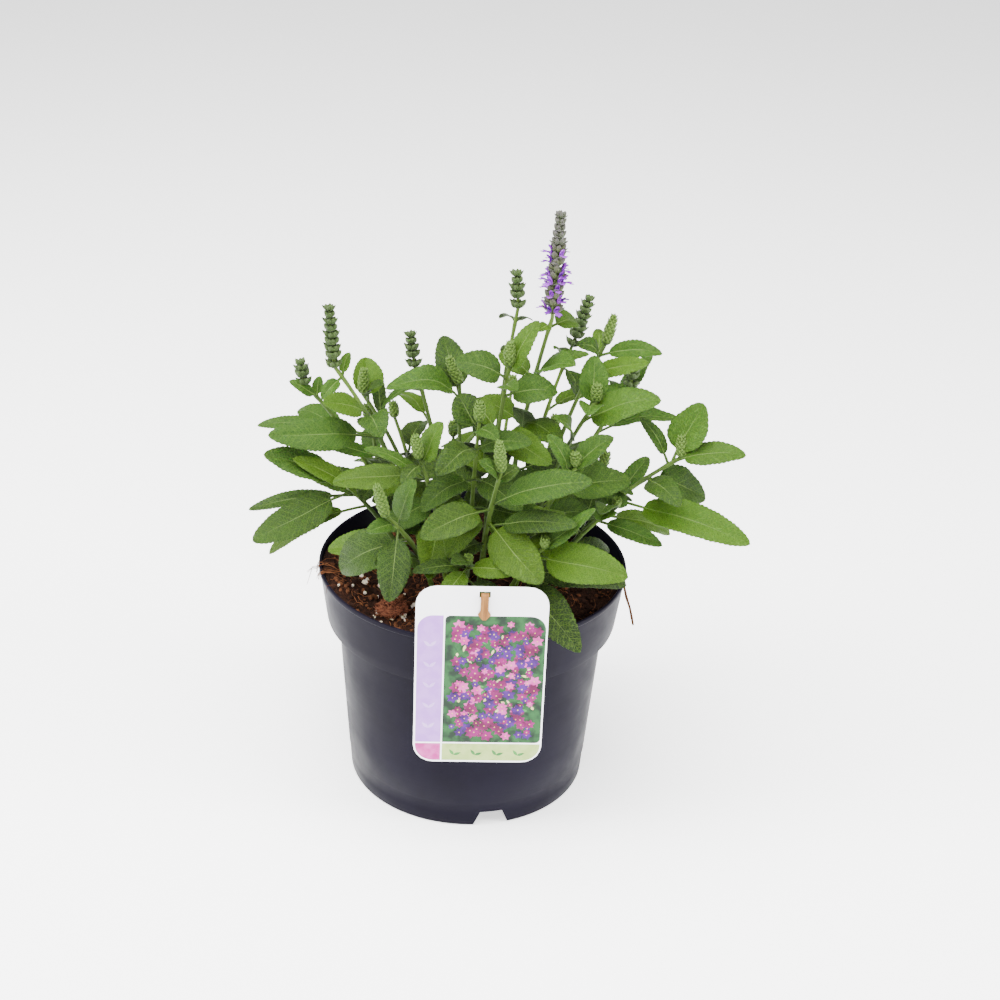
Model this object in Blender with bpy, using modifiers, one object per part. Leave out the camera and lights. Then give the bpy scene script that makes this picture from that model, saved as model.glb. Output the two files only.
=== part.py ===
"""A flowering perennial salvia in its round nursery pot, with a plain plant tag.

Lengths in the tables and constants are millimetres; the scene is built in metres, with +Z up.
The front, which carries the tag, faces -Y.
"""
import math
import random

import bmesh
import bpy
from mathutils import Matrix, Vector, noise
from mathutils.bvhtree import BVHTree

MM = 0.001
GAP = 0.3

# Where the pot's axis stands, so that the whole plant is centred on the origin.
AXIS_X = -10.5
AXIS_Y = -2.0

# Pot: a blown shell with a stepped collar, a bead at the rim and a raised floor.
POT_HEIGHT = 146.3
RIM_RADIUS = 95.0
COLLAR_RADIUS = 90.05
COLLAR_Z = 110.7
BODY_RADIUS = 83.1
STEP_RADIUS = 76.2
STEP_Z = 16.5
STEP_DEPTH = 0.5
BASE_RADIUS = 74.8
BEAD_HEIGHT = 3.0
BEAD_DEPTH = 0.7
WALL = 1.6
FLOOR_Z = 11.0
POT_SIDES = 40
NOTCH_ANGLES = (13.7, 133.7, 253.7)
NOTCH_HEIGHT = 10.0
NOTCH_FOOT_HALF = 11.7
NOTCH_TOP_HALF = 6.9

# Soil: fills the pot to a little under the rim and mounds up towards the stems.
SOIL_EDGE_Z = 132.0
SOIL_CROWN = 7.0
SOIL_SIDES = 20
SOIL_RELIEF = 1.6
HOLE_DEPTH = 13.0
COIR_PLACE = (-46.0, -51.0)
COIR_SIZE = (10.5, 8.0, 5.5)

# Tag: a card hung on a strip that stands in the soil.
TAG_WIDTH = 75.5
TAG_HEIGHT = 119.5
TAG_THICKNESS = 0.7
TAG_CORNER = 12.0
TAG_CENTRE = (7.8, -97.6, 124.3)
TAG_YAW = 3.0
SLOT_SIZE = (6.4, 4.0)
SLOT_X = 9.0
SLOT_Z = 179.0
TIE_THICKNESS = 0.9

# Foliage.
LEAF_THICKNESS = 0.7
STALK_HALF = 0.9
BLADE_LEAN = 0.75
BLADE_FULL = 0.54
TIP_HALF = 0.55
ROW_PITCH = 9.0
NARROW_BLADE = 19.5
HEAD_RADIUS = 4.2
WHORL_PITCH = 5.0
SCALLOP = 0.88
FACE_FRONT = 0.8
FACE_OUT = 0.35
FRONT_LIMIT = 28.0
STEM_FOOT = 1.9
STEM_TOP = 1.2
STEM_END = 0.8
SEED = 11


def shoot(root, apex, tip, leaves, filler=1, back=False):
    """A stem from the soil (x, y) to its apex and the tip of its head (x, y, z), with its leaves."""
    return {"root": root, "apex": apex, "tip": tip, "leaves": leaves, "filler": filler, "back": back}


def leaf(height, tip, width, arch=4, roll=0):
    """A leaf: share of the stem's height, tip point, blade width, rise of its middle, twist."""
    return {"height": height, "tip": tip, "width": width, "arch": arch, "roll": roll}


SHOOTS = {
    "shoot_bloom": shoot((16, 8), (41, 15, 302), (41, 15, 302), [
        leaf(0.96, (64, 22, 293), 17), leaf(0.96, (30, 6, 303), 8, 3), leaf(0.74, (63, 5, 286), 11, 5),
        leaf(0.74, (56, -13, 280), 19, 5), leaf(0.74, (11, 30, 273), 14, 5), leaf(0.5, (24, -12, 257), 15, 5),
    ], 2),
    "shoot_west_tall": shoot((-30, 6), (-86, 5, 270), (-89, 5, 308), [
        leaf(0.94, (-78, 13, 276), 7, 3), leaf(0.94, (-92, -6, 253), 9, 3), leaf(0.74, (-94, -14, 257), 17),
        leaf(0.72, (-56, -16, 235), 20, 6), leaf(0.62, (-122, -20, 236), 21, 6),
        leaf(0.62, (-136, 24, 219), 12, 9), leaf(0.5, (-121, 20, 231), 10, 6),
    ]),
    "shoot_west_bud": shoot((-42, 16), (-105, 18, 252), (-108, 20, 266), [
        leaf(0.92, (-114, 14, 255), 8, 2), leaf(0.92, (-97, 24, 255), 7, 2), leaf(0.7, (-112, 48, 222), 17),
    ]),
    "shoot_west_back": shoot((-28, 22), (-71, 24, 245), (-70, 26, 262), [
        leaf(0.94, (-71, 40, 262), 20, 1), leaf(0.94, (-57, 8, 258), 13), leaf(0.8, (-63, 50, 250), 9, 2),
    ]),
    "shoot_north_west": shoot((-16, 30), (-41, 46, 255), (-44, 48, 276), [
        leaf(0.85, (-26, 62, 246), 12), leaf(0.85, (-62, 28, 236), 10, 5), leaf(0.65, (-58, 72, 226), 18, 6),
    ]),
    "shoot_arched": shoot((-10, 12), (-12, 15, 258), (-20, 17, 276), [
        leaf(0.92, (-24, 33, 281), 20, 2), leaf(0.9, (-55, 4, 259), 19, 12), leaf(0.95, (16, 30, 268), 17, 24),
    ]),
    "shoot_north_tall": shoot((6, 26), (21, 37, 300), (19, 38, 322), [
        leaf(0.93, (10, 47, 288), 8, 3), leaf(0.93, (30, 32, 294), 8, 2), leaf(0.72, (22, 66, 262), 15, 5),
    ]),
    "shoot_centre": shoot((6, -6), (17, 0, 277), (17, 1, 294), [
        leaf(0.94, (33, 5, 304), 15, 2), leaf(0.93, (-14, -10, 283), 20, 6), leaf(0.87, (6, -30, 275), 12),
        leaf(0.66, (44, -28, 228), 19, 6), leaf(0.66, (-12, 26, 240), 17, 6), leaf(0.84, (46, -8, 266), 20, 5),
    ], 2),
    "shoot_north_east": shoot((24, 30), (55, 46, 273), (64, 51, 303), [
        leaf(0.9, (44, 34, 275), 10), leaf(0.88, (59, 31, 247), 12), leaf(0.66, (84, 70, 236), 17, 5),
    ]),
    "shoot_east_back": shoot((32, 16), (74, 28, 282), (79, 33, 301), [
        leaf(0.94, (108, 24, 280), 12, 6), leaf(0.94, (57, 20, 284), 14), leaf(0.82, (101, 8, 282), 14),
        leaf(0.94, (70, 54, 282), 9, 2),
    ]),
    "shoot_east_dark": shoot((44, 28), (92, 42, 249), (93, 44, 264), [
        leaf(0.9, (106, 62, 262), 15, 3), leaf(0.7, (128, 44, 228), 17, 6), leaf(0.9, (80, 58, 246), 12, 3),
    ]),
    "shoot_east_mid": shoot((28, -4), (69, -5, 259), (69, -4, 271), [
        leaf(0.95, (68, 10, 282), 18, 1), leaf(0.95, (64, -26, 259), 15), leaf(0.86, (106, -14, 265), 24, 7),
        leaf(0.86, (87, 11, 263), 12, 5), leaf(0.7, (94, -20, 206), 9, 8), leaf(0.72, (45, -21, 256), 14, 5),
    ]),
    "shoot_east": shoot((46, -8), (121, -15, 230), (120, -12, 244), [
        leaf(0.95, (132, -3, 260), 26, 2), leaf(0.95, (158, -20, 236), 17, 6), leaf(0.93, (96, 0, 248), 10),
        leaf(0.8, (138, -12, 202), 25, 6), leaf(0.8, (118, -50, 216), 17, 5), leaf(0.62, (160, -54, 195), 23, 3),
        leaf(0.62, (104, 22, 212), 12, 3), leaf(0.5, (122, 8, 166), 14), leaf(0.46, (113, -26, 176), 12),
    ], 1),
    "shoot_south_east": shoot((26, -20), (59, -35, 231), (57, -35, 240), [
        leaf(0.9, (79, -31, 249), 17), leaf(0.9, (41, -32, 249), 12), leaf(0.76, (91, -27, 221), 20, 5),
        leaf(0.6, (44, -58, 200), 19, 5), leaf(0.5, (72, -20, 192), 18, 6),
        leaf(0.42, (54, -60, 178), 22, 5),
    ], 1),
    "shoot_east_low": shoot((42, -22), (84, -27, 201), (84, -27, 207), [
        leaf(0.95, (86, -17, 219), 17, 1), leaf(0.92, (73, -50, 204), 15), leaf(0.92, (62, -46, 219), 14),
    ], 1),
    "shoot_south": shoot((4, -28), (15, -55, 235), (13, -54, 256), [
        leaf(0.9, (3, -61, 244), 12, 3), leaf(0.9, (27, -52, 248), 11, 3), leaf(0.64, (-29, -76, 202), 22, 5),
        leaf(0.68, (67, -61, 235), 21, 7), leaf(0.5, (58, -72, 212), 16, 4), leaf(0.54, (33, -87, 178), 26, 4),
    ], 1),
    "shoot_south_east_low": shoot((20, -40), (42, -62, 191), (42, -62, 198), [
        leaf(0.8, (92, -66, 180), 25, 4), leaf(0.3, (66, -89, 140), 26, 10), leaf(0.5, (90, -66, 159), 21, 6),
        leaf(0.8, (70, -68, 220), 11, 3),
    ], 0),
    "shoot_south_west": shoot((-22, -32), (-50, -60, 206), (-56, -62, 229), [
        leaf(0.82, (-47, -78, 160), 20, 7), leaf(0.82, (-33, -53, 226), 19, 3), leaf(0.86, (-60, -70, 200), 11, 3),
        leaf(0.66, (-78, -47, 161), 27, 8), leaf(0.6, (-87, -30, 166), 17),
    ], 1),
    "shoot_mid_west": shoot((-16, -14), (-33, -30, 229), (-36, -29, 245), [
        leaf(0.93, (-20, -24, 250), 18, 2), leaf(0.93, (-42, -47, 220), 11), leaf(0.82, (-84, -27, 208), 18, 7),
        leaf(0.82, (-60, -46, 236), 10), leaf(0.6, (-50, -44, 188), 20, 6), leaf(0.6, (2, -48, 196), 18, 5),
        leaf(0.45, (-48, -62, 172), 22, 5),
    ], 1),
    "shoot_middle": shoot((-3, -9), (1, -16, 248), (1, -15, 262), [
        leaf(0.93, (-13, -4, 259), 20, 3), leaf(0.93, (13, -36, 246), 12), leaf(0.8, (-27, -45, 229), 19, 6),
        leaf(0.8, (32, -31, 243), 16, 5), leaf(0.6, (-30, -40, 200), 20, 6), leaf(0.6, (28, -42, 205), 20, 6),
        leaf(0.42, (-20, -62, 178), 22, 5), leaf(0.42, (26, -58, 182), 22, 5),
    ], 1),
    "shoot_west_low": shoot((-38, -8), (-82, -12, 204), (-83, -12, 211), [
        leaf(0.95, (-125, -22, 224), 21), leaf(0.86, (-131, -30, 168), 24, 6), leaf(0.82, (-139, 0, 177), 10, 5),
        leaf(0.82, (-102, -33, 217), 14), leaf(0.7, (-126, -4, 147), 14, 9),
    ], 0),
    "shoot_south_low": shoot((-4, -44), (-2, -60, 176), (-2, -60, 183), [
        leaf(0.92, (-34, -70, 176), 10), leaf(0.92, (-17, -92, 164), 13, 5), leaf(0.84, (-17, -74, 192), 12),
        leaf(0.92, (21, -80, 180), 13, 3), leaf(0.6, (-26, -84, 152), 16, 5), leaf(0.6, (24, -84, 156), 16, 5),
    ], 0),
}

# The hidden far side is filled with plainer shoots, set out by rule.
BACK_SHOOTS = 6
BACK_FIRST = 25.0
BACK_STEP = 26.0
BACK_PAIRS = 2

FLOWER_FOOT = (41.0, 15.0, 302.0)
FLOWER_TIP = (43.0, 20.0, 367.0)
OPEN_WHORLS = 5


def new_collection(name):
    collection = bpy.data.collections.new(name)
    bpy.context.scene.collection.children.link(collection)
    return collection


def add_object(name, mesh, collection):
    obj = bpy.data.objects.new(name, mesh)
    collection.objects.link(obj)
    return obj


def paint(obj, name, colour, roughness):
    material = bpy.data.materials.new(name)
    material.use_nodes = True
    shader = material.node_tree.nodes["Principled BSDF"]
    shader.inputs["Base Color"].default_value = (*colour, 1.0)
    shader.inputs["Roughness"].default_value = roughness
    shader.inputs["Metallic"].default_value = 0.0
    obj.data.materials.clear()
    obj.data.materials.append(material)


def as_mesh(obj, collection):
    """The evaluated object as a welded mesh object of the same name, in world coordinates."""
    bpy.context.view_layer.update()
    evaluated = obj.evaluated_get(bpy.context.evaluated_depsgraph_get())
    mesh = bpy.data.meshes.new_from_object(evaluated)
    mesh.transform(obj.matrix_world)
    name = obj.name
    bpy.data.objects.remove(obj)
    shape = bmesh.new()
    shape.from_mesh(mesh)
    bmesh.ops.remove_doubles(shape, verts=shape.verts, dist=1e-6)
    bmesh.ops.triangulate(shape, faces=shape.faces)
    bmesh.ops.recalc_face_normals(shape, faces=shape.faces)
    shape.to_mesh(mesh)
    shape.free()
    return add_object(name, mesh, collection)


def mesh_object(name, shape, collection, scale=MM):
    """A mesh object from a bmesh in millimetres."""
    bmesh.ops.scale(shape, vec=(scale, scale, scale), verts=shape.verts)
    mesh = bpy.data.meshes.new(name)
    shape.to_mesh(mesh)
    shape.free()
    return add_object(name, mesh, collection)


def solidify(obj, thickness):
    shell = obj.modifiers.new("shell", "SOLIDIFY")
    shell.thickness = thickness * MM
    shell.offset = 0.0
    shell.use_even_offset = False


def boolean_with(obj, cutters, operation):
    """Join or cut an object with everything in a collection, and apply it."""
    join = obj.modifiers.new("join", "BOOLEAN")
    join.operation = operation
    join.operand_type = "COLLECTION"
    join.collection = cutters
    join.solver = "MANIFOLD"


def empty_collection(collection):
    for item in list(collection.objects):
        bpy.data.objects.remove(item)


# Pot and soil.

def inner_radius(z):
    """The pot's inside radius at a height."""
    if z > COLLAR_Z + WALL:
        share = (z - COLLAR_Z) / (POT_HEIGHT - COLLAR_Z)
        return COLLAR_RADIUS + (RIM_RADIUS - BEAD_DEPTH - COLLAR_RADIUS) * share - WALL
    share = (z - STEP_Z) / (COLLAR_Z - STEP_Z)
    return STEP_RADIUS - STEP_DEPTH + (BODY_RADIUS - STEP_RADIUS + STEP_DEPTH) * share - WALL


def make_pot(parts, tools):
    bead_z = POT_HEIGHT - BEAD_HEIGHT
    collar_top = RIM_RADIUS - BEAD_DEPTH
    floor_top = FLOOR_Z + WALL
    profile = [
        (0.0, floor_top),
        (inner_radius(floor_top), floor_top),
        (inner_radius(COLLAR_Z), COLLAR_Z + WALL),
        (inner_radius(COLLAR_Z + WALL + 0.01), COLLAR_Z + WALL),
        (inner_radius(POT_HEIGHT) + 0.3, POT_HEIGHT - 0.5),
        (RIM_RADIUS - 1.2, POT_HEIGHT),
        (RIM_RADIUS - 0.3, POT_HEIGHT - 0.4),
        (RIM_RADIUS, bead_z + 0.6),
        (collar_top - 0.1, bead_z),
        (COLLAR_RADIUS, COLLAR_Z + 0.8),
        (COLLAR_RADIUS - 0.8, COLLAR_Z),
        (BODY_RADIUS, COLLAR_Z),
        (STEP_RADIUS, STEP_Z),
        (STEP_RADIUS - STEP_DEPTH, STEP_Z - 0.6),
        (BASE_RADIUS, 0.4),
        (BASE_RADIUS - 0.4, 0.0),
        (BASE_RADIUS - WALL - 0.6, 0.0),
        (BASE_RADIUS - WALL - 0.2, FLOOR_Z),
        (0.0, FLOOR_Z),
    ]
    shape = bmesh.new()
    points = [shape.verts.new((radius, 0.0, z)) for radius, z in profile]
    for first, second in zip(points, points[1:]):
        shape.edges.new((first, second))
    pot = mesh_object("pot", shape, parts)
    turn = pot.modifiers.new("turn", "SCREW")
    turn.steps = POT_SIDES
    turn.render_steps = POT_SIDES
    turn.use_merge_vertices = True
    turn.merge_threshold = 0.00001
    pot = as_mesh(pot, parts)
    pot.location = (AXIS_X * MM, AXIS_Y * MM, 0.0)
    for angle in NOTCH_ANGLES:
        make_notch(angle, tools)
    boolean_with(pot, tools, "DIFFERENCE")
    pot = as_mesh(pot, parts)
    empty_collection(tools)
    paint(pot, "pot_plastic", (0.040, 0.034, 0.052), 0.42)


def make_notch(angle, tools):
    """A drain notch through the stand ring, narrower at its top."""
    shape = bmesh.new()
    bmesh.ops.create_cube(shape, size=1.0)
    for vert in shape.verts:
        top = vert.co.z > 0
        half = NOTCH_TOP_HALF if top else NOTCH_FOOT_HALF
        vert.co.x = math.copysign(half, vert.co.x)
        vert.co.y = -BASE_RADIUS + 8.0 * vert.co.y
        vert.co.z = NOTCH_HEIGHT if top else -2.0
    turn = Matrix.Rotation(math.radians(angle), 3, "Z")
    bmesh.ops.rotate(shape, verts=shape.verts, cent=(0, 0, 0), matrix=turn)
    bmesh.ops.translate(shape, verts=shape.verts, vec=(AXIS_X, AXIS_Y, 0.0))
    cutter = mesh_object("notch", shape, tools)
    cutter.hide_render = True
    cutter.display_type = "WIRE"


def soil_height(x, y):
    """Height of the soil's surface at a place measured from the pot's axis."""
    radius = math.hypot(x, y)
    share = min(radius / inner_radius(SOIL_EDGE_Z), 1.0)
    lumps = noise.noise(Vector((x * 0.055, y * 0.055, 3.1)))
    crumbs = noise.noise(Vector((x * 0.16, y * 0.16, 9.4)))
    rise = SOIL_CROWN * (1.0 - share * share)
    return SOIL_EDGE_Z + rise + SOIL_RELIEF * (lumps + 0.5 * crumbs) * (1.0 - share ** 6)


def make_soil(parts, tools, feet):
    """A lathed plug with lumps on top, with a plain hole for every stem and for the tag's strip."""
    edge = inner_radius(SOIL_EDGE_Z) - GAP
    ledge_z = COLLAR_Z + WALL + GAP
    floor_z = FLOOR_Z + WALL + GAP
    profile = [(0.0, SOIL_EDGE_Z)]
    profile += [(edge * share, SOIL_EDGE_Z) for share in (0.2, 0.42, 0.63, 0.83)]
    profile += [
        (edge - 0.2, SOIL_EDGE_Z),
        (inner_radius(ledge_z + 0.1) - GAP, ledge_z),
        (inner_radius(COLLAR_Z) - GAP - 0.1, ledge_z),
        (inner_radius(floor_z) - GAP - 0.1, floor_z),
        (0.0, floor_z),
    ]
    shape = bmesh.new()
    points = [shape.verts.new((radius, 0.0, z)) for radius, z in profile]
    for first, second in zip(points, points[1:]):
        shape.edges.new((first, second))
    soil = mesh_object("soil", shape, parts)
    turn = soil.modifiers.new("turn", "SCREW")
    turn.steps = SOIL_SIDES
    turn.render_steps = SOIL_SIDES
    turn.use_merge_vertices = True
    turn.merge_threshold = 0.00001
    soil = as_mesh(soil, parts)
    for vert in soil.data.vertices:
        if vert.co.z > (SOIL_EDGE_Z - 0.1) * MM:
            vert.co.z = soil_height(vert.co.x / MM, vert.co.y / MM) * MM
    soil.location = (AXIS_X * MM, AXIS_Y * MM, 0.0)
    for x, y, half_x, half_y in feet:
        hole = bmesh.new()
        bmesh.ops.create_cube(hole, size=1.0)
        bmesh.ops.scale(hole, verts=hole.verts, vec=(2 * half_x, 2 * half_y, 40.0))
        foot_z = soil_height(x, y) - HOLE_DEPTH - GAP
        bmesh.ops.translate(hole, verts=hole.verts, vec=(x + AXIS_X, y + AXIS_Y, foot_z + 20.0))
        cutter = mesh_object("hole", hole, tools)
        cutter.hide_render = True
        cutter.display_type = "WIRE"
    boolean_with(soil, tools, "DIFFERENCE")
    soil = as_mesh(soil, parts)
    empty_collection(tools)
    paint(soil, "potting_soil", (0.030, 0.014, 0.010), 0.95)
    return soil


def make_coir(parts, soil):
    """A tuft of reddish coir that lies on the soil by the rim."""
    x, y = COIR_PLACE
    shape = bmesh.new()
    bmesh.ops.create_icosphere(shape, subdivisions=2, radius=1.0)
    for vert in shape.verts:
        lump = 1.0 + 0.32 * noise.noise(vert.co * 2.3 + Vector((5.0, 1.0, 2.0)))
        vert.co = Vector([value * size * lump for value, size in zip(vert.co, COIR_SIZE)])
    bmesh.ops.rotate(shape, verts=shape.verts, matrix=Matrix.Rotation(0.6, 3, "Z"), cent=(0, 0, 0))
    bmesh.ops.translate(shape, verts=shape.verts, vec=(x + AXIS_X, y + AXIS_Y, 0.0))
    top = BVHTree.FromPolygons([v.co / MM for v in soil.data.vertices], [p.vertices for p in soil.data.polygons])
    floor = []
    for vert in shape.verts:
        hit = top.ray_cast(Vector((vert.co.x, vert.co.y, 200.0)), Vector((0, 0, -1)))[0]
        floor.append(hit.z + GAP + 0.05)
    middle = sum(floor) / len(floor) + 0.45 * COIR_SIZE[2]
    for vert, low in zip(shape.verts, floor):
        vert.co.z = max(vert.co.z + middle, low + 0.02 * (vert.co.z + COIR_SIZE[2]))
    coir = mesh_object("coir_clump", shape, parts)
    coir = as_mesh(coir, parts)
    paint(coir, "coir", (0.19, 0.075, 0.035), 0.9)


# Tag.

def make_tag(parts, tools):
    half_x = TAG_WIDTH / 2 - TAG_CORNER
    half_z = TAG_HEIGHT / 2 - TAG_CORNER
    outline = []
    for corner_x, corner_z, first in ((1, 1, 0), (-1, 1, 90), (-1, -1, 180), (1, -1, 270)):
        for step in range(6):
            angle = math.radians(first + 18 * step)
            x = corner_x * half_x + TAG_CORNER * math.cos(angle)
            z = corner_z * half_z + TAG_CORNER * math.sin(angle)
            outline.append((x * MM, z * MM))
    curve = bpy.data.curves.new("tag", "CURVE")
    curve.dimensions = "2D"
    curve.fill_mode = "BOTH"
    curve.extrude = TAG_THICKNESS * MM / 2
    line = curve.splines.new("POLY")
    line.points.add(len(outline) - 1)
    for point, (x, z) in zip(line.points, outline):
        point.co = (x, z, 0.0, 1.0)
    line.use_cyclic_u = True
    tag = add_object("tag", curve, parts)
    place = Vector((TAG_CENTRE[0] + AXIS_X, TAG_CENTRE[1] + AXIS_Y, TAG_CENTRE[2])) * MM
    turn = Matrix.Rotation(math.radians(TAG_YAW), 4, "Z") @ Matrix.Rotation(math.radians(90), 4, "X")
    tag.matrix_world = Matrix.Translation(place) @ turn
    tag = as_mesh(tag, parts)
    slot = bmesh.new()
    bmesh.ops.create_cube(slot, size=1.0)
    bmesh.ops.scale(slot, verts=slot.verts, vec=(SLOT_SIZE[0], 8.0, SLOT_SIZE[1]))
    bmesh.ops.rotate(slot, verts=slot.verts, cent=(0, 0, 0), matrix=Matrix.Rotation(math.radians(TAG_YAW), 3, "Z"))
    bmesh.ops.translate(slot, verts=slot.verts, vec=(SLOT_X + AXIS_X, TAG_CENTRE[1] + AXIS_Y, SLOT_Z))
    cutter = mesh_object("slot", slot, tools)
    cutter.hide_render = True
    cutter.display_type = "WIRE"
    boolean_with(tag, tools, "DIFFERENCE")
    tag = as_mesh(tag, parts)
    empty_collection(tools)
    paint(tag, "tag_card", (0.82, 0.82, 0.84), 0.35)


def ribbon(name, path, widths, thickness, collection):
    """A strip of the given widths along a path in the YZ plane, all at one x."""
    shape = bmesh.new()
    bmesh.ops.create_grid(shape, x_segments=1, y_segments=len(path) - 1, size=1.0)
    for vert in shape.verts:
        index = round((vert.co.y + 1.0) / 2.0 * (len(path) - 1))
        x, y, z = path[index]
        vert.co = Vector((x + vert.co.x * widths[index] / 2.0, y, z))
    strip = mesh_object(name, shape, collection)
    solidify(strip, thickness)
    return as_mesh(strip, collection)


def make_tie(parts):
    """The strip stands in the soil, rises behind the tag, passes its slot and ends in a barb."""
    foot_z = soil_height(SLOT_X, -82.0) - HOLE_DEPTH
    path = [
        (SLOT_X, -82.0, foot_z), (SLOT_X, -82.0, 146.0), (SLOT_X, -84.5, 154.0), (SLOT_X, -92.5, 170.0),
        (SLOT_X, -95.2, 176.5), (SLOT_X, -96.3, 178.7), (SLOT_X, -97.6, 179.4), (SLOT_X, -98.9, 178.7),
        (SLOT_X, -99.3, 176.5), (SLOT_X, -99.2, 169.0), (SLOT_X, -99.0, 166.5), (SLOT_X, -98.8, 163.0),
    ]
    widths = [4.6, 4.6, 4.6, 4.6, 4.6, 4.6, 4.6, 4.6, 4.6, 4.6, 7.4, 2.0]
    path = [(x + AXIS_X, y + AXIS_Y, z) for x, y, z in path]
    tie = ribbon("tag_tie", path, widths, TIE_THICKNESS, parts)
    paint(tie, "tie_plastic", (0.50, 0.36, 0.24), 0.5)


# Foliage: the layout in millimetres from the pot's axis.

def stem_point(plan, share):
    """A point on a stem: share 0 at the soil, 1 at its apex, 2 at the tip of its head."""
    root_x, root_y = plan["root"]
    foot = Vector((root_x, root_y, soil_height(root_x, root_y)))
    apex = Vector(plan["apex"])
    if share > 1.0:
        return apex.lerp(Vector(plan["tip"]), share - 1.0)
    knee = foot.lerp(apex, 0.28)
    knee.z = foot.z + 0.58 * (apex.z - foot.z)
    return foot.lerp(knee, share).lerp(knee.lerp(apex, share), share)


def leaf_axes(base, tip, roll):
    """The chord, the upper face's normal and the sideways direction of a leaf."""
    chord = (tip - base).normalized()
    level = Vector((chord.x, chord.y, 0.0))
    if level.length < 0.12:
        level = Vector((base.x, base.y, 0.0))
    level.normalize()
    normal = level * -chord.z + Vector((0, 0, 1)) * max(chord.dot(level), 0.05)
    if base.y < FRONT_LIMIT:
        normal += Vector((0, -FACE_FRONT, 0))
    else:
        normal += Vector((base.x, base.y, 0)).normalized() * FACE_OUT
    normal = (normal - chord * normal.dot(chord)).normalized()
    normal.rotate(Matrix.Rotation(math.radians(roll), 3, chord))
    return chord, normal, chord.cross(normal)


def blade_share(along, stalk):
    """Half width of a leaf as a share of its greatest, with the stalk left out."""
    if along <= stalk:
        return 0.0
    place = (along - stalk) / (1.0 - stalk)
    return max(math.sin(math.pi * place ** BLADE_LEAN), 0.0) ** BLADE_FULL


def leaf_point(item, along, across, scallop=1.0):
    """A point of a leaf: along runs 0 to 1 from stem to tip, across runs -1 to 1."""
    base, tip = item["base"], item["point"]
    chord, normal, side = item["axes"]
    spine = base.lerp(tip, along) + normal * item["arch"] * 4.0 * along * (1.0 - along)
    floor_half = STALK_HALF + (TIP_HALF - STALK_HALF) * along
    half = max(item["width"] / 2.0 * blade_share(along, item["stalk"]) * scallop, floor_half)
    lift = item["fold"] * abs(across) * half
    lift += item["wave"] * half * across * across * math.sin(7.0 * along + item["phase"] + 1.6 * across)
    return spine + side * across * half + normal * lift


def is_broad(item):
    """A large leaf of the seen side, which gets a folded blade; the others are flat across."""
    return item["given"] and item["width"] > NARROW_BLADE


def leaf_rows(item):
    """The shares along a leaf where its rows of corners lie, with each row's scallop."""
    length = (item["point"] - item["base"]).length
    blade = length * (1.0 - item["stalk"])
    if is_broad(item):
        count = max(4, min(5, round(blade / ROW_PITCH)))
    else:
        count = max(3, min(4, round(blade / (1.3 * ROW_PITCH))))
    rows = [(0.0, 1.0), (item["stalk"], 1.0)]
    for index in range(count):
        place = (index + 0.4) / (count - 0.6)
        along = item["stalk"] + (1.0 - item["stalk"]) * place
        rows.append((along, 1.0 if index % 2 == 0 else SCALLOP))
    return rows


def leaf_shape(item, grow=0.0, skip=0):
    """The leaf's surface as a bmesh; grow widens it for the clearance test, and skip leaves out rows."""
    rows = leaf_rows(item)[skip:]
    shape = bmesh.new()
    columns = 2 if is_broad(item) else 1
    bmesh.ops.create_grid(shape, x_segments=columns, y_segments=len(rows) - 1, size=1.0)
    for vert in shape.verts:
        along, scallop = rows[round((vert.co.y + 1.0) / 2.0 * (len(rows) - 1))]
        across = float(round(vert.co.x))
        vert.co = leaf_point(item, along, across, scallop) + item["axes"][2] * across * grow
    bmesh.ops.triangulate(shape, faces=shape.faces)
    return shape


def slab_tree(item, skip=0):
    """A leaf thickened by the clearance on both faces, as a search tree."""
    shape = leaf_shape(item, 0.5, skip)
    shape.verts.index_update()
    shape.normal_update()
    reach = LEAF_THICKNESS / 2.0 + GAP + 0.1
    count = len(shape.verts)
    points = [vert.co + vert.normal * reach for vert in shape.verts]
    points += [vert.co - vert.normal * reach for vert in shape.verts]
    faces = [[v.index for v in face.verts] for face in shape.faces]
    faces += [[v.index + count for v in face.verts] for face in shape.faces]
    for edge in shape.edges:
        if edge.is_boundary:
            first, second = edge.verts
            faces.append([first.index, second.index, second.index + count, first.index + count])
    shape.free()
    return BVHTree.FromPolygons(points, faces)


def plan_leaf(plan, spec, draw):
    """A leaf with everything that its shape needs, from its line in the table."""
    base = stem_point(plan, spec["height"])
    tip = Vector(spec["tip"])
    return finish_leaf({
        "base": base,
        "point": tip,
        "width": float(spec["width"]),
        "arch": float(spec["arch"]),
        "roll": spec["roll"] + draw.uniform(-14.0, 14.0),
        "fold": draw.uniform(0.05, 0.42),
        "wave": draw.uniform(0.03, 0.12),
        "phase": draw.uniform(0.0, 6.2),
        "stalk": draw.uniform(0.14, 0.24),
        "height": spec["height"],
        "given": not plan["back"],
    })


def finish_leaf(item):
    item["axes"] = leaf_axes(item["base"], item["point"], item["roll"])
    return item


def filler_leaves(plan, draw):
    """Opposite pairs low on a stem, which hide the soil, turned a quarter from pair to pair."""
    found = []
    turn = draw.uniform(20.0, 70.0)
    for index in range(plan["filler"]):
        height = 0.36 + 0.19 * index
        base = stem_point(plan, height)
        for side in (0, 180):
            angle = math.radians(turn + 90.0 * index + side)
            length = draw.uniform(32.0, 44.0)
            reach = Vector((math.cos(angle), math.sin(angle), draw.uniform(0.0, 0.4))) * length
            found.append(finish_leaf({
                "base": base,
                "point": base + reach,
                "width": length * draw.uniform(0.42, 0.5),
                "arch": draw.uniform(3.0, 7.0),
                "roll": draw.uniform(-16.0, 16.0),
                "fold": draw.uniform(0.05, 0.35),
                "wave": draw.uniform(0.03, 0.12),
                "phase": draw.uniform(0.0, 6.2),
                "stalk": draw.uniform(0.14, 0.22),
                "height": height,
                "given": False,
            }))
    return found


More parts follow.
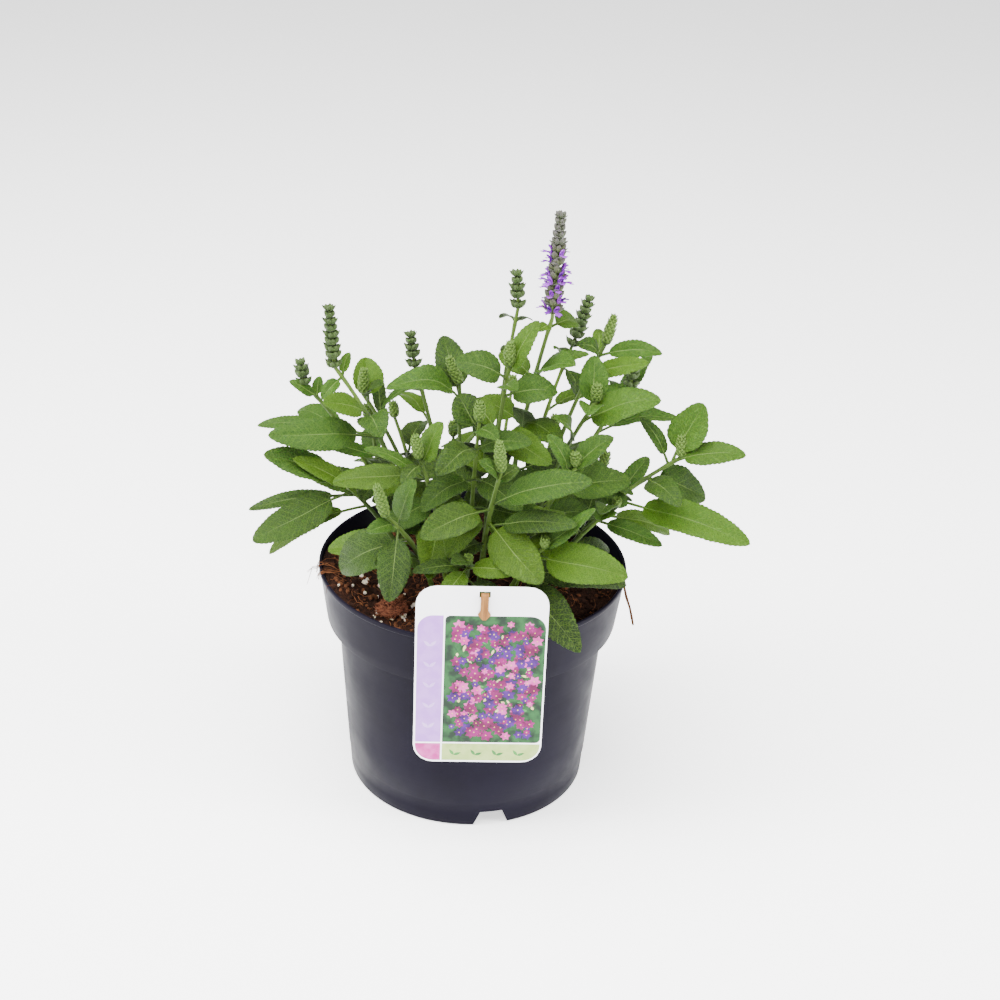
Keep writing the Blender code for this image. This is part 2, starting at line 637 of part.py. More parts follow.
def back_plans():
    """Shoots of the far side, fanned out behind the others."""
    plans = {}
    draw = random.Random(SEED + 5)
    for index in range(BACK_SHOOTS):
        angle = math.radians(BACK_FIRST + BACK_STEP * index)
        inner = 52.0 + 9.0 * (index % 2)
        outer = 74.0 + 12.0 * ((index + 1) % 2)
        rise = 196.0 + 14.0 * (index % 3)
        across = math.cos(angle)
        depth = math.sin(angle)
        apex = (outer * across, outer * depth, rise)
        tip = (outer * across * 1.03, outer * depth * 1.03, rise + 11.0)
        plan = shoot((inner * across, inner * depth), apex, tip, [], 0, True)
        for pair in range(BACK_PAIRS):
            height = 0.4 + 0.26 * pair
            base = stem_point(plan, height)
            length = 44.0 - 7.0 * pair
            for side in (0, 180):
                out = angle + math.radians(35.0 + 90.0 * pair + side + draw.uniform(-10.0, 10.0))
                target = base + Vector((math.cos(out), math.sin(out), 0.25)) * length
                plan["leaves"].append(leaf(height, tuple(target), length * 0.46, 5, 0))
        plans["shoot_back_%d" % (index + 1)] = plan
    return plans


def variants(item):
    """The leaf as planned, then turned, raised, lowered and shortened step by step."""
    yield item
    base = item["base"]
    reach = item["point"] - base
    for size in (1.0, 0.88, 0.74, 0.6):
        for lift in (0.0, 5.0, -5.0, 10.0, -9.0):
            for turn in (0, 9, -9, 18, -18, 30, -30):
                turned = reach.copy()
                turned.rotate(Matrix.Rotation(math.radians(turn), 3, "Z"))
                other = dict(item)
                other["point"] = base + turned * size + Vector((0, 0, lift))
                other["width"] = item["width"] * (0.4 + 0.6 * size)
                other["arch"] = item["arch"] * size
                yield finish_leaf(other)


def stem_rows(plan):
    """Points and thicknesses along a stem, from the bottom of its hole to the end of its head."""
    rows = []
    foot = stem_point(plan, 0.0)
    rows.append((foot - Vector((0, 0, HOLE_DEPTH)), STEM_FOOT))
    for share in (0.0, 0.3, 0.6, 1.0):
        rows.append((stem_point(plan, share), STEM_FOOT + (STEM_TOP - STEM_FOOT) * share))
    if has_head(plan):
        axis = (Vector(plan["tip"]) - Vector(plan["apex"])).normalized()
        rows.append((stem_point(plan, 1.0) + axis * 2.5, STEM_END))
    return rows


def sleeve_tree(rows, reach):
    """A six-sided sleeve around a line of points, for the clearance test."""
    points = []
    faces = []
    for place, radius in rows:
        for side in range(6):
            angle = math.radians(60 * side)
            size = radius + reach
            points.append(place + Vector((math.cos(angle) * size, math.sin(angle) * size, 0.0)))
    for row in range(len(rows) - 1):
        for side in range(6):
            low = row * 6
            faces.append([low + side, low + (side + 1) % 6, low + 6 + (side + 1) % 6, low + 6 + side])
    return BVHTree.FromPolygons(points, faces)


def has_head(plan):
    return (Vector(plan["tip"]) - Vector(plan["apex"])).length > 3.0


def plan_plant(soil_tree, fixed):
    """Every shoot's leaves, each moved until it stands clear of the other shoots and the pot."""
    plans = dict(SHOOTS)
    plans.update(back_plans())
    draw = random.Random(SEED)
    wanted = []
    for name, plan in plans.items():
        for spec in plan["leaves"]:
            wanted.append((name, plan_leaf(plan, spec, draw)))
    for name, plan in plans.items():
        for item in filler_leaves(plan, draw):
            wanted.append((name, item))
    taken = {name: [] for name in plans}
    for name, plan in plans.items():
        rows = stem_rows(plan)[1:]
        taken[name].append(sleeve_tree(rows, GAP + 0.2))
        if has_head(plan):
            apex, tip = stem_point(plan, 1.0), stem_point(plan, 2.0)
            taken[name].append(sleeve_tree([(apex, HEAD_RADIUS), (tip, 0.7 * HEAD_RADIUS)], GAP))
    blades = {name: [] for name in plans}
    shoots = {name: [] for name in plans}
    dropped = 0
    for name, item in wanted:
        others = [tree for other, trees in taken.items() if other != name for tree in trees]
        for choice in variants(item):
            if choice["point"].length > 400.0:
                continue
            slab = slab_tree(choice)
            if slab.overlap(soil_tree) or any(slab.overlap(tree) for tree in fixed):
                continue
            if any(slab.overlap(tree) for tree in others):
                continue
            blade = slab_tree(choice, 2)
            if any(blade.overlap(tree) for tree in blades[name]):
                continue
            shoots[name].append(choice)
            taken[name].append(slab)
            blades[name].append(blade)
            break
        else:
            dropped += 1
    print("leaves placed", sum(len(items) for items in shoots.values()), "left out", dropped)
    return plans, shoots


def shifted(point):
    return Vector((point.x + AXIS_X, point.y + AXIS_Y, point.z))


def make_stem(name, rows, collection):
    """A square stem as a curve with a four-sided bevel, made a mesh."""
    curve = bpy.data.curves.new(name, "CURVE")
    curve.dimensions = "3D"
    curve.bevel_depth = MM
    curve.bevel_resolution = 0
    curve.use_fill_caps = True
    line = curve.splines.new("POLY")
    line.points.add(len(rows) - 1)
    for point, (place, radius) in zip(line.points, rows):
        point.co = (*(shifted(place) * MM), 1.0)
        point.radius = radius
    stem = add_object(name, curve, collection)
    return as_mesh(stem, collection)


def add_head(foot, tip, radius, sides, whorls, collection):
    """A spike of buds in whorls: a spindle whose rings stand out bud by bud and draw in between."""
    axis = tip - foot
    rings = 2 * whorls + 1
    shape = bmesh.new()
    bmesh.ops.create_uvsphere(shape, u_segments=sides, v_segments=rings, radius=1.0)
    for vert in shape.verts:
        ring = rings - round(math.acos(max(-1.0, min(1.0, vert.co.z))) / math.pi * rings)
        side = round(math.atan2(vert.co.y, vert.co.x) / math.tau * sides)
        crest = ring % 2 == 0
        share = ring / rings
        size = radius * (1.0 - 0.38 * share)
        if not crest:
            size *= 0.55
        elif (side + ring // 2) % 2:
            size *= 0.72
        if ring in (0, rings):
            size = 0.0
        level = share + (0.35 / rings if crest else 0.0)
        angle = math.tau * side / sides
        vert.co = Vector((size * math.cos(angle), size * math.sin(angle), level * axis.length))
    turn = axis.to_track_quat("Z", "Y").to_matrix()
    bmesh.ops.rotate(shape, verts=shape.verts, cent=(0, 0, 0), matrix=turn)
    bmesh.ops.translate(shape, verts=shape.verts, vec=shifted(foot))
    return as_mesh(mesh_object("head", shape, collection), collection)


def make_shoot(name, plan, leaves, parts, tools):
    """One node: a stem with its leaves and its head of buds, fused."""
    rows = stem_rows(plan)
    for item in leaves:
        shape = leaf_shape(item)
        bmesh.ops.translate(shape, verts=shape.verts, vec=(AXIS_X, AXIS_Y, 0.0))
        blade = mesh_object("blade", shape, tools)
        solidify(blade, LEAF_THICKNESS)
        as_mesh(blade, tools)
    if has_head(plan):
        apex, tip = stem_point(plan, 1.0), stem_point(plan, 2.0)
        whorls = max(2, round((tip - apex).length / WHORL_PITCH))
        add_head(apex, tip, HEAD_RADIUS, 6, whorls, tools)
    stem = make_stem(name, rows, parts)
    boolean_with(stem, tools, "UNION")
    stem = as_mesh(stem, parts)
    empty_collection(tools)
    paint(stem, name.replace("shoot", "leaf_green"), (0.105, 0.255, 0.045), 0.55)


# The open flower spike.

def lip(centre, aim, rise, sizes, drop, thickness, collection):
    """A petal: a short strip that widens and bends by drop at its end."""
    side = aim.cross(rise).normalized()
    count = len(sizes)
    shape = bmesh.new()
    bmesh.ops.create_grid(shape, x_segments=1, y_segments=count - 1, size=1.0)
    for vert in shape.verts:
        index = round((vert.co.y + 1.0) / 2.0 * (count - 1))
        along, width = sizes[index]
        across = vert.co.x * width / 2.0
        vert.co = shifted(centre + aim * along + rise * drop * along * along + side * across)
    petal = mesh_object("petal", shape, collection)
    solidify(petal, thickness)
    as_mesh(petal, collection)


def make_flower(parts, tools):
    """The flowering spike: whorls of calyces, the lower ones with two-lipped corollas."""
    foot = Vector(FLOWER_FOOT) + Vector((0, 0, GAP))
    tip = Vector(FLOWER_TIP)
    axis = (tip - foot).normalized()
    length = (tip - foot).length
    side = axis.orthogonal().normalized()
    draw = random.Random(SEED + 9)
    for ring in range(OPEN_WHORLS):
        place = foot + axis * (6.0 + 7.0 * ring)
        for step in range(3):
            out = side.copy()
            turn = 120.0 * step + 47.0 * ring + draw.uniform(-9.0, 9.0)
            out.rotate(Matrix.Rotation(math.radians(turn), 3, axis))
            aim = (out * 0.85 + axis * 0.45).normalized()
            rise = (axis - aim * axis.dot(aim)).normalized()
            reach = draw.uniform(0.85, 1.0) * (1.0 - 0.05 * ring)
            upper = [(1.0, 2.4), (9.0 * reach, 3.0)]
            lower = [(1.0, 1.8), (5.6 * reach, 4.4), (8.0 * reach, 2.8)]
            lip(place, aim, rise, upper, 0.022, 1.2, tools)
            lip(place - rise * 1.6, aim, rise, lower, -0.045, 0.9, tools)
    add_head(foot + axis * 2.0, tip, 1.15 * HEAD_RADIUS, 8, 10, tools)
    rows = [(foot, STEM_TOP), (foot + axis * 5.0, STEM_TOP)]
    spike = make_stem("flower_spike", rows, parts)
    boolean_with(spike, tools, "UNION")
    spike = as_mesh(spike, parts)
    empty_collection(tools)
    paint(spike, "flower_violet", (0.19, 0.10, 0.52), 0.6)


def main():
    for old in list(bpy.data.objects):
        bpy.data.objects.remove(old)
    parts = new_collection("potted_salvia")
    tools = new_collection("tools")
    make_pot(parts, tools)
    plans = dict(SHOOTS)
    plans.update(back_plans())
    feet = []
    for plan in plans.values():
        reach = STEM_FOOT + GAP
        feet.append((plan["root"][0], plan["root"][1], reach, reach))
    feet.append((SLOT_X, -82.0, 2.3 + GAP, TIE_THICKNESS / 2.0 + GAP))
    soil = make_soil(parts, tools, feet)
    make_coir(parts, soil)
    make_tag(parts, tools)
    make_tie(parts)
    shift = Vector((AXIS_X, AXIS_Y, 0.0))
    trees = {}
    for item in parts.objects:
        points = [item.matrix_world @ v.co / MM - shift for v in item.data.vertices]
        trees[item.name] = BVHTree.FromPolygons(points, [p.vertices for p in item.data.polygons])
    soil_tree = trees.pop("soil")
    spike = [(Vector(FLOWER_FOOT), 6.0), (Vector(FLOWER_FOOT) + Vector((0, 0, 4)), 13.0), (Vector(FLOWER_TIP), 6.0)]
    fixed = list(trees.values()) + [sleeve_tree(spike, GAP)]
    plans, shoots = plan_plant(soil_tree, fixed)
    for name, plan in plans.items():
        make_shoot(name, plan, shoots[name], parts, tools)
    make_flower(parts, tools)
    bpy.data.collections.remove(tools)


main()
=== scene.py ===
"""A flowering perennial salvia in its nursery pot: the looks, built round its solids."""
import math
import random

import bmesh
import bpy
import numpy as np
from mathutils import Matrix, Vector, noise
from mathutils.kdtree import KDTree


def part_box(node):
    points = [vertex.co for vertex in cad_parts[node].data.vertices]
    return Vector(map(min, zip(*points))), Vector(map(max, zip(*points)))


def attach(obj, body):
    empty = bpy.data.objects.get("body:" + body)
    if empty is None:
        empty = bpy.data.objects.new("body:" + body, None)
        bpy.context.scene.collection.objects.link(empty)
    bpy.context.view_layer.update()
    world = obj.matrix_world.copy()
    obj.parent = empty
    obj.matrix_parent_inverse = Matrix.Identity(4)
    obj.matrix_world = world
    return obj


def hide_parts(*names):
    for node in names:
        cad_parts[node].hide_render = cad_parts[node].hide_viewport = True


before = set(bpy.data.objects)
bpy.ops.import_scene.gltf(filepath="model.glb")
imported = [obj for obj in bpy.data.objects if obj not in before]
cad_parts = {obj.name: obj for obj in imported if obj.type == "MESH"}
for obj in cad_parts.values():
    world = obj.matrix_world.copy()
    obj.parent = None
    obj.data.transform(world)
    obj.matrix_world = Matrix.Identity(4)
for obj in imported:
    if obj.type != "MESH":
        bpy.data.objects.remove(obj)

# Plant, pot and tag are in millimetres from the pot's axis. The lamps stand in metres.
MM = 0.001
# The free space between a solid and the next one.
GAP = 0.3
# How near a leaf's tip lies to a corner of its solid when both are the same leaf.
MATCH = 0.35
SEED = 11

# Camera and light.
CAMERA_TILT = 27.384
CAMERA_ROLL = 2.473
CAMERA_REACH = 1094.1
CAMERA_LENS = 64.79
CAMERA_AIM = (15.04, 0.0, 188.68)
ROOM_LIGHT = 0.5
FLOOR_GLOW = 1.0
FLOOR_DROP = 0.0004
# Each soft box: name, place, the height that it aims at on the vertical through the origin, size, watts.
LAMPS = (
    ("top_box", (-0.25, -0.25, 1.5), 0.15, (1.5, 1.5), 105.0),
    ("left_box", (-1.5, -0.5, 0.7), 0.12, (0.6, 1.2), 55.0),
    ("right_box", (1.5, -0.4, 0.7), 0.12, (0.6, 1.2), 52.0),
    ("front_box", (0.3, -1.9, 1.0), 0.15, (0.9, 0.9), 26.0),
)

# Where the pot's axis stands, so that the whole plant is centred on the origin.
AXIS = (-10.5, -2.0, 0.0)

# Pot: a blown shell with a stepped collar, a bead at the rim and a raised floor.
POT_HEIGHT = 146.3
RIM_RADIUS = 95.0
COLLAR_RADIUS = 90.05
COLLAR_Z = 110.7
BODY_RADIUS = 83.1
STEP_RADIUS = 76.2
STEP_Z = 16.5
STEP_DEPTH = 0.5
BASE_RADIUS = 74.8
BEAD_HEIGHT = 3.0
BEAD_DEPTH = 0.7
WALL = 1.6
FLOOR_Z = 11.0
POT_SECTORS = 144
POT_CREASE = 38.0
NOTCH_ANGLES = (13.7, 133.7, 253.7)
NOTCH_HEIGHT = 10.0
NOTCH_FOOT_HALF = 11.7
NOTCH_TOP_HALF = 6.9

# Soil: fills the pot to a little under the rim, mounds up towards the stems and is heaped at the left.
SOIL_EDGE_Z = 132.0
SOIL_CROWN = 7.0
SOIL_RELIEF = 1.6
SOIL_REACH = 90.2
SOIL_DEPTH = 9.0
SOIL_RINGS = 56
SOIL_SECTORS = 150
HOLE_DEPTH = 13.0
HEAP_TURN = 8.0
HEAP_SPREAD = 34.0
HEAP_RISE = 13.5
HEAP_REACH = 0.024
# Left of this x the soil gets more bark crumbs and fibres: real pieces, crowded there so that the left of the
# soil is painted lighter, as the lit side, than the shaded right.
WEST_X = -25.0
CRUMBS = 1500
FIBRES = 760
FIBRE_STEPS = 9
RIM_STRANDS = 12
RIM_HAIRS = 4
PERLITE = 60
COIR_FIBRES = 320

# Tag: a card that hangs on its strip in front of the rim.
TAG_WIDTH = 75.5
TAG_HEIGHT = 119.5
TAG_THICKNESS = 0.7
TAG_CENTRE = (7.8, -97.6, 124.3)
TAG_YAW = 3.0
PRINT_LEAVES = 90
PRINT_FLOWERS = 230
# The inks: two near colours each, which a soft noise mixes. The print names them by their place here.
INKS = (
    ("ink_garden", "#0a2011", "#1f5226"), ("ink_lilac", "#a06cc4", "#a978c9"),
    ("ink_pale_green", "#8ea45a", "#9bae68"), ("ink_leaf", "#1c5a2a", "#3f7f3a"),
    ("ink_dark_leaf", "#0b2a16", "#174022"), ("ink_magenta", "#520236", "#78085a"),
    ("ink_violet", "#2a0548", "#481072"), ("ink_pink", "#a3287a", "#b84c92"),
    ("ink_cream", "#b0a86c", "#c0ba88"), ("ink_yellow", "#b89a38", "#c4ab58"),
    ("ink_soft_lilac", "#b48ed0", "#bc9ad4"),
)
GARDEN, LILAC, PALE_GREEN, LEAF_INK, DARK_LEAF, MAGENTA, VIOLET, PINK, CREAM, YELLOW, SOFT_LILAC = range(11)

# Leaves.
LEAF_THICKNESS = 0.7
STALK_HALF = 0.9
BLADE_LEAN = 0.75
BLADE_FULL = 0.54
TIP_HALF = 0.55
BLADE_SHEET = 0.42
STALK_SHEET = 0.9
LEAF_COLUMNS = 15
STALK_ROWS = 5
TOOTH_ROWS = 4
TOOTH_PITCH = 2.7
WAVE_ALONG = 7.0
WAVE_ACROSS = 1.6
VEIN_LEAN = 0.95
VEIN_PITCH = 4.0
BLISTER_PITCH = 2.4
PUCKER = 0.11
GROOVE = 0.55
FACE_FRONT = 0.8
FACE_OUT = 0.35
FRONT_LIMIT = 28.0

# Stems and heads.
STEM_FOOT = 1.9
STEM_TOP = 1.2
STEM_HAIRS = 60
LEAST_HEAD = 3.0
HEAD_RADIUS = 4.2
WHORL_STEP = 4.1
SCALE_STEP = 1.9
WHORLED = ("shoot_west_tall", "shoot_west_bud", "shoot_north_west", "shoot_north_tall", "shoot_north_east",
           "shoot_east_dark")

# The spike in bloom.
FLOWER_FOOT = (41.0, 15.0, 302.0)
FLOWER_TIP = (43.0, 20.0, 367.0)
FLOWER_WHORLS = 15
OPEN_RINGS = 9
OPEN_SHARE = 0.68
PETAL_ROWS = 8
PETAL_COLUMNS = 9

# Places in a shoot's list of materials. The open spike's list has petals and calyces instead of leaf faces.
UPPER, LOWER, STEM, BUDS, SCALES = range(5)
PETAL, CALYX = range(2)


def shoot(root, apex, tip, leaves, filler=1):
    """A stem from the soil (x, y) to its apex and the tip of its head (x, y, z).

    A leaf's line gives its share of the stem's height, its tip and the blade's width, and then, where they
    aren't 4 and 0, the rise of its middle and its twist. filler counts the plain pairs low on the stem.
    """
    return {"root": root, "apex": apex, "tip": tip, "leaves": leaves, "filler": filler}


SHOOTS = {
    "shoot_bloom": shoot((16, 8), (41, 15, 302), (41, 15, 302), [
        (0.96, (64, 22, 293), 17), (0.96, (30, 6, 303), 8, 3), (0.74, (63, 5, 286), 11, 5),
        (0.74, (56, -13, 280), 19, 5), (0.74, (11, 30, 273), 14, 5), (0.5, (24, -12, 257), 15, 5),
    ], 2),
    "shoot_west_tall": shoot((-30, 6), (-86, 5, 270), (-89, 5, 308), [
        (0.94, (-78, 13, 276), 7, 3), (0.94, (-92, -6, 253), 9, 3), (0.74, (-94, -14, 257), 17),
        (0.72, (-56, -16, 235), 20, 6), (0.62, (-122, -20, 236), 21, 6), (0.62, (-136, 24, 219), 12, 9),
        (0.5, (-121, 20, 231), 10, 6),
    ]),
    "shoot_west_bud": shoot((-42, 16), (-105, 18, 252), (-108, 20, 266), [
        (0.92, (-114, 14, 255), 8, 2), (0.92, (-97, 24, 255), 7, 2), (0.7, (-112, 48, 222), 17),
    ]),
    "shoot_west_back": shoot((-28, 22), (-71, 24, 245), (-70, 26, 262), [
        (0.94, (-71, 40, 262), 20, 1), (0.94, (-57, 8, 258), 13), (0.8, (-63, 50, 250), 9, 2),
    ]),
    "shoot_north_west": shoot((-16, 30), (-41, 46, 255), (-44, 48, 276), [
        (0.85, (-26, 62, 246), 12), (0.85, (-62, 28, 236), 10, 5), (0.65, (-58, 72, 226), 18, 6),
    ]),
    "shoot_arched": shoot((-10, 12), (-12, 15, 258), (-20, 17, 276), [
        (0.92, (-24, 33, 281), 20, 2), (0.9, (-55, 4, 259), 19, 12), (0.95, (16, 30, 268), 17, 24),
    ]),
    "shoot_north_tall": shoot((6, 26), (21, 37, 300), (19, 38, 322), [
        (0.93, (10, 47, 288), 8, 3), (0.93, (30, 32, 294), 8, 2), (0.72, (22, 66, 262), 15, 5),
    ]),
    "shoot_centre": shoot((6, -6), (17, 0, 277), (17, 1, 294), [
        (0.94, (33, 5, 304), 15, 2), (0.93, (-14, -10, 283), 20, 6), (0.87, (6, -30, 275), 12),
        (0.66, (44, -28, 228), 19, 6), (0.66, (-12, 26, 240), 17, 6), (0.84, (46, -8, 266), 20, 5),
    ], 2),
    "shoot_north_east": shoot((24, 30), (55, 46, 273), (64, 51, 303), [
        (0.9, (44, 34, 275), 10), (0.88, (59, 31, 247), 12), (0.66, (84, 70, 236), 17, 5),
    ]),
    "shoot_east_back": shoot((32, 16), (74, 28, 282), (79, 33, 301), [
        (0.94, (108, 24, 280), 12, 6), (0.94, (57, 20, 284), 14), (0.82, (101, 8, 282), 14),
        (0.94, (70, 54, 282), 9, 2),
    ]),
    "shoot_east_dark": shoot((44, 28), (92, 42, 249), (93, 44, 264), [
        (0.9, (106, 62, 262), 15, 3), (0.7, (128, 44, 228), 17, 6), (0.9, (80, 58, 246), 12, 3),
    ]),
    "shoot_east_mid": shoot((28, -4), (69, -5, 259), (69, -4, 271), [
        (0.95, (68, 10, 282), 18, 1), (0.95, (64, -26, 259), 15), (0.86, (106, -14, 265), 24, 7),
        (0.86, (87, 11, 263), 12, 5), (0.7, (94, -20, 206), 9, 8), (0.72, (45, -21, 256), 14, 5),
    ]),
    "shoot_east": shoot((46, -8), (121, -15, 230), (120, -12, 244), [
        (0.95, (132, -3, 260), 26, 2), (0.95, (158, -20, 236), 17, 6), (0.93, (96, 0, 248), 10),
        (0.8, (138, -12, 202), 25, 6), (0.8, (118, -50, 216), 17, 5), (0.62, (160, -54, 195), 23, 3),
        (0.62, (104, 22, 212), 12, 3), (0.5, (122, 8, 166), 14), (0.46, (113, -26, 176), 12),
    ]),
    "shoot_south_east": shoot((26, -20), (59, -35, 231), (57, -35, 240), [
        (0.9, (79, -31, 249), 17), (0.9, (41, -32, 249), 12), (0.76, (91, -27, 221), 20, 5),
        (0.6, (44, -58, 200), 19, 5), (0.5, (72, -20, 192), 18, 6), (0.42, (54, -60, 178), 22, 5),
    ]),
    "shoot_east_low": shoot((42, -22), (84, -27, 201), (84, -27, 207), [
        (0.95, (86, -17, 219), 17, 1), (0.92, (73, -50, 204), 15), (0.92, (62, -46, 219), 14),
    ]),
    "shoot_south": shoot((4, -28), (15, -55, 235), (13, -54, 256), [
        (0.9, (3, -61, 244), 12, 3), (0.9, (27, -52, 248), 11, 3), (0.64, (-29, -76, 202), 22, 5),
        (0.68, (67, -61, 235), 21, 7), (0.5, (58, -72, 212), 16, 4), (0.54, (33, -87, 178), 26, 4),
    ]),
    "shoot_south_east_low": shoot((20, -40), (42, -62, 191), (42, -62, 198), [
        (0.8, (92, -66, 180), 25, 4), (0.3, (66, -89, 140), 26, 10), (0.5, (90, -66, 159), 21, 6),
        (0.8, (70, -68, 220), 11, 3),
    ], 0),
    "shoot_south_west": shoot((-22, -32), (-50, -60, 206), (-56, -62, 229), [
        (0.82, (-47, -78, 160), 20, 7), (0.82, (-33, -53, 226), 19, 3), (0.86, (-60, -70, 200), 11, 3),
        (0.66, (-78, -47, 161), 27, 8), (0.6, (-87, -30, 166), 17),
    ]),
    "shoot_mid_west": shoot((-16, -14), (-33, -30, 229), (-36, -29, 245), [
        (0.93, (-20, -24, 250), 18, 2), (0.93, (-42, -47, 220), 11), (0.82, (-84, -27, 208), 18, 7),
        (0.82, (-60, -46, 236), 10), (0.6, (-50, -44, 188), 20, 6), (0.6, (2, -48, 196), 18, 5),
        (0.45, (-48, -62, 172), 22, 5),
    ]),
    "shoot_middle": shoot((-3, -9), (1, -16, 248), (1, -15, 262), [
        (0.93, (-13, -4, 259), 20, 3), (0.93, (13, -36, 246), 12), (0.8, (-27, -45, 229), 19, 6),
        (0.8, (32, -31, 243), 16, 5), (0.6, (-30, -40, 200), 20, 6), (0.6, (28, -42, 205), 20, 6),
        (0.42, (-20, -62, 178), 22, 5), (0.42, (26, -58, 182), 22, 5),
    ]),
    "shoot_west_low": shoot((-38, -8), (-82, -12, 204), (-83, -12, 211), [
        (0.95, (-125, -22, 224), 21), (0.86, (-131, -30, 168), 24, 6), (0.82, (-139, 0, 177), 10, 5),
        (0.82, (-102, -33, 217), 14), (0.7, (-126, -4, 147), 14, 9),
    ], 0),
    "shoot_south_low": shoot((-4, -44), (-2, -60, 176), (-2, -60, 183), [
        (0.92, (-34, -70, 176), 10), (0.92, (-17, -92, 164), 13, 5), (0.84, (-17, -74, 192), 12),
        (0.92, (21, -80, 180), 13, 3), (0.6, (-26, -84, 152), 16, 5), (0.6, (24, -84, 156), 16, 5),
    ], 0),
}

# The hidden far side is filled with plainer shoots, set out by rule.
BACK_SHOOTS = 6
BACK_FIRST = 25.0
BACK_STEP = 26.0
BACK_PAIRS = 2


def inner_radius(z):
    """The pot's inside radius at a height."""
    if z > COLLAR_Z + WALL:
        share = (z - COLLAR_Z) / (POT_HEIGHT - COLLAR_Z)
        return COLLAR_RADIUS + (RIM_RADIUS - BEAD_DEPTH - COLLAR_RADIUS) * share - WALL
    share = (z - STEP_Z) / (COLLAR_Z - STEP_Z)
    return STEP_RADIUS - STEP_DEPTH + (BODY_RADIUS - STEP_RADIUS + STEP_DEPTH) * share - WALL


def soil_height(x, y):
    """Height of the soil's surface at a place measured from the pot's axis."""
    radius = math.hypot(x, y)
    share = min(radius / inner_radius(SOIL_EDGE_Z), 1.0)
    lumps = noise.noise(Vector((x * 0.055, y * 0.055, 3.1)))
    crumbs = noise.noise(Vector((x * 0.16, y * 0.16, 9.4)))
    rise = SOIL_CROWN * (1.0 - share * share)
    return SOIL_EDGE_Z + rise + SOIL_RELIEF * (lumps + 0.5 * crumbs) * (1.0 - share ** 6)


def stem_point(plan, share):
    """A point on a stem: share 0 at the soil, 1 at its apex, 2 at the tip of its head."""
    root_x, root_y = plan["root"]
    foot = Vector((root_x, root_y, soil_height(root_x, root_y)))
    apex = Vector(plan["apex"])
    if share > 1.0:
        return apex.lerp(Vector(plan["tip"]), share - 1.0)
    knee = foot.lerp(apex, 0.28)
    knee.z = foot.z + 0.58 * (apex.z - foot.z)
    return foot.lerp(knee, share).lerp(knee.lerp(apex, share), share)


def leaf_axes(base, tip, roll):
    """The chord, the upper face's normal and the sideways direction of a leaf."""
    chord = (tip - base).normalized()
    level = Vector((chord.x, chord.y, 0.0))
    if level.length < 0.12:
        level = Vector((base.x, base.y, 0.0))
    level.normalize()
    normal = level * -chord.z + Vector((0, 0, 1)) * max(chord.dot(level), 0.05)
    if base.y < FRONT_LIMIT:
        normal += Vector((0, -FACE_FRONT, 0))
    else:
        normal += Vector((base.x, base.y, 0)).normalized() * FACE_OUT
    normal = (normal - chord * normal.dot(chord)).normalized()
    normal.rotate(Matrix.Rotation(math.radians(roll), 3, chord))
    return chord, normal, chord.cross(normal)


def aim_leaf(item):
    """Gives a leaf its axes."""
    item["axes"] = leaf_axes(item["base"], item["point"], item["roll"])
    return item


def grow_leaf(draw, base, tip, width, arch, roll, height, fold, stalk):
    """A leaf with everything that its shape needs. Fold and stalk are the most that chance gives."""
    return aim_leaf({
        "base": base, "point": tip, "width": width, "arch": arch, "roll": roll, "height": height,
        "fold": draw.uniform(0.05, fold), "wave": draw.uniform(0.03, 0.12),
        "phase": draw.uniform(0.0, 6.2), "stalk": draw.uniform(0.14, stalk),
    })


def planned_leaf(draw, plan, height, tip, width, arch=4, roll=0):
    """A leaf from its line in the table."""
    roll += draw.uniform(-14.0, 14.0)
    return grow_leaf(draw, stem_point(plan, height), Vector(tip), width, arch, roll, height, 0.42, 0.24)


def filler_leaves(draw, plan):
    """Opposite pairs low on a stem, which hide the soil, turned a quarter from pair to pair."""
    turn = draw.uniform(20.0, 70.0)
    for index in range(plan["filler"]):
        height = 0.36 + 0.19 * index
        base = stem_point(plan, height)
        for side in (0, 180):
            angle = math.radians(turn + 90.0 * index + side)
            length = draw.uniform(32.0, 44.0)
            reach = Vector((math.cos(angle), math.sin(angle), draw.uniform(0.0, 0.4))) * length
            width = length * draw.uniform(0.42, 0.5)
            arch = draw.uniform(3.0, 7.0)
            roll = draw.uniform(-16.0, 16.0)
            yield grow_leaf(draw, base, base + reach, width, arch, roll, height, 0.35, 0.22)


def back_plans():
    """Shoots of the far side, fanned out behind the others."""
    plans = {}
    draw = random.Random(SEED + 5)
    for index in range(BACK_SHOOTS):
        angle = math.radians(BACK_FIRST + BACK_STEP * index)
        inner = 52.0 + 9.0 * (index % 2)
        outer = 74.0 + 12.0 * ((index + 1) % 2)
        rise = 196.0 + 14.0 * (index % 3)
        across, depth = math.cos(angle), math.sin(angle)
        apex = (outer * across, outer * depth, rise)
        tip = (outer * across * 1.03, outer * depth * 1.03, rise + 11.0)
        plan = shoot((inner * across, inner * depth), apex, tip, [], 0)
        for pair in range(BACK_PAIRS):
            height = 0.4 + 0.26 * pair
            base = stem_point(plan, height)
            length = 44.0 - 7.0 * pair
            for side in (0, 180):
                out = angle + math.radians(35.0 + 90.0 * pair + side + draw.uniform(-10.0, 10.0))
                target = base + Vector((math.cos(out), math.sin(out), 0.25)) * length
                plan["leaves"].append((height, target, length * 0.46, 5))
        plans["shoot_back_%d" % (index + 1)] = plan
    return plans


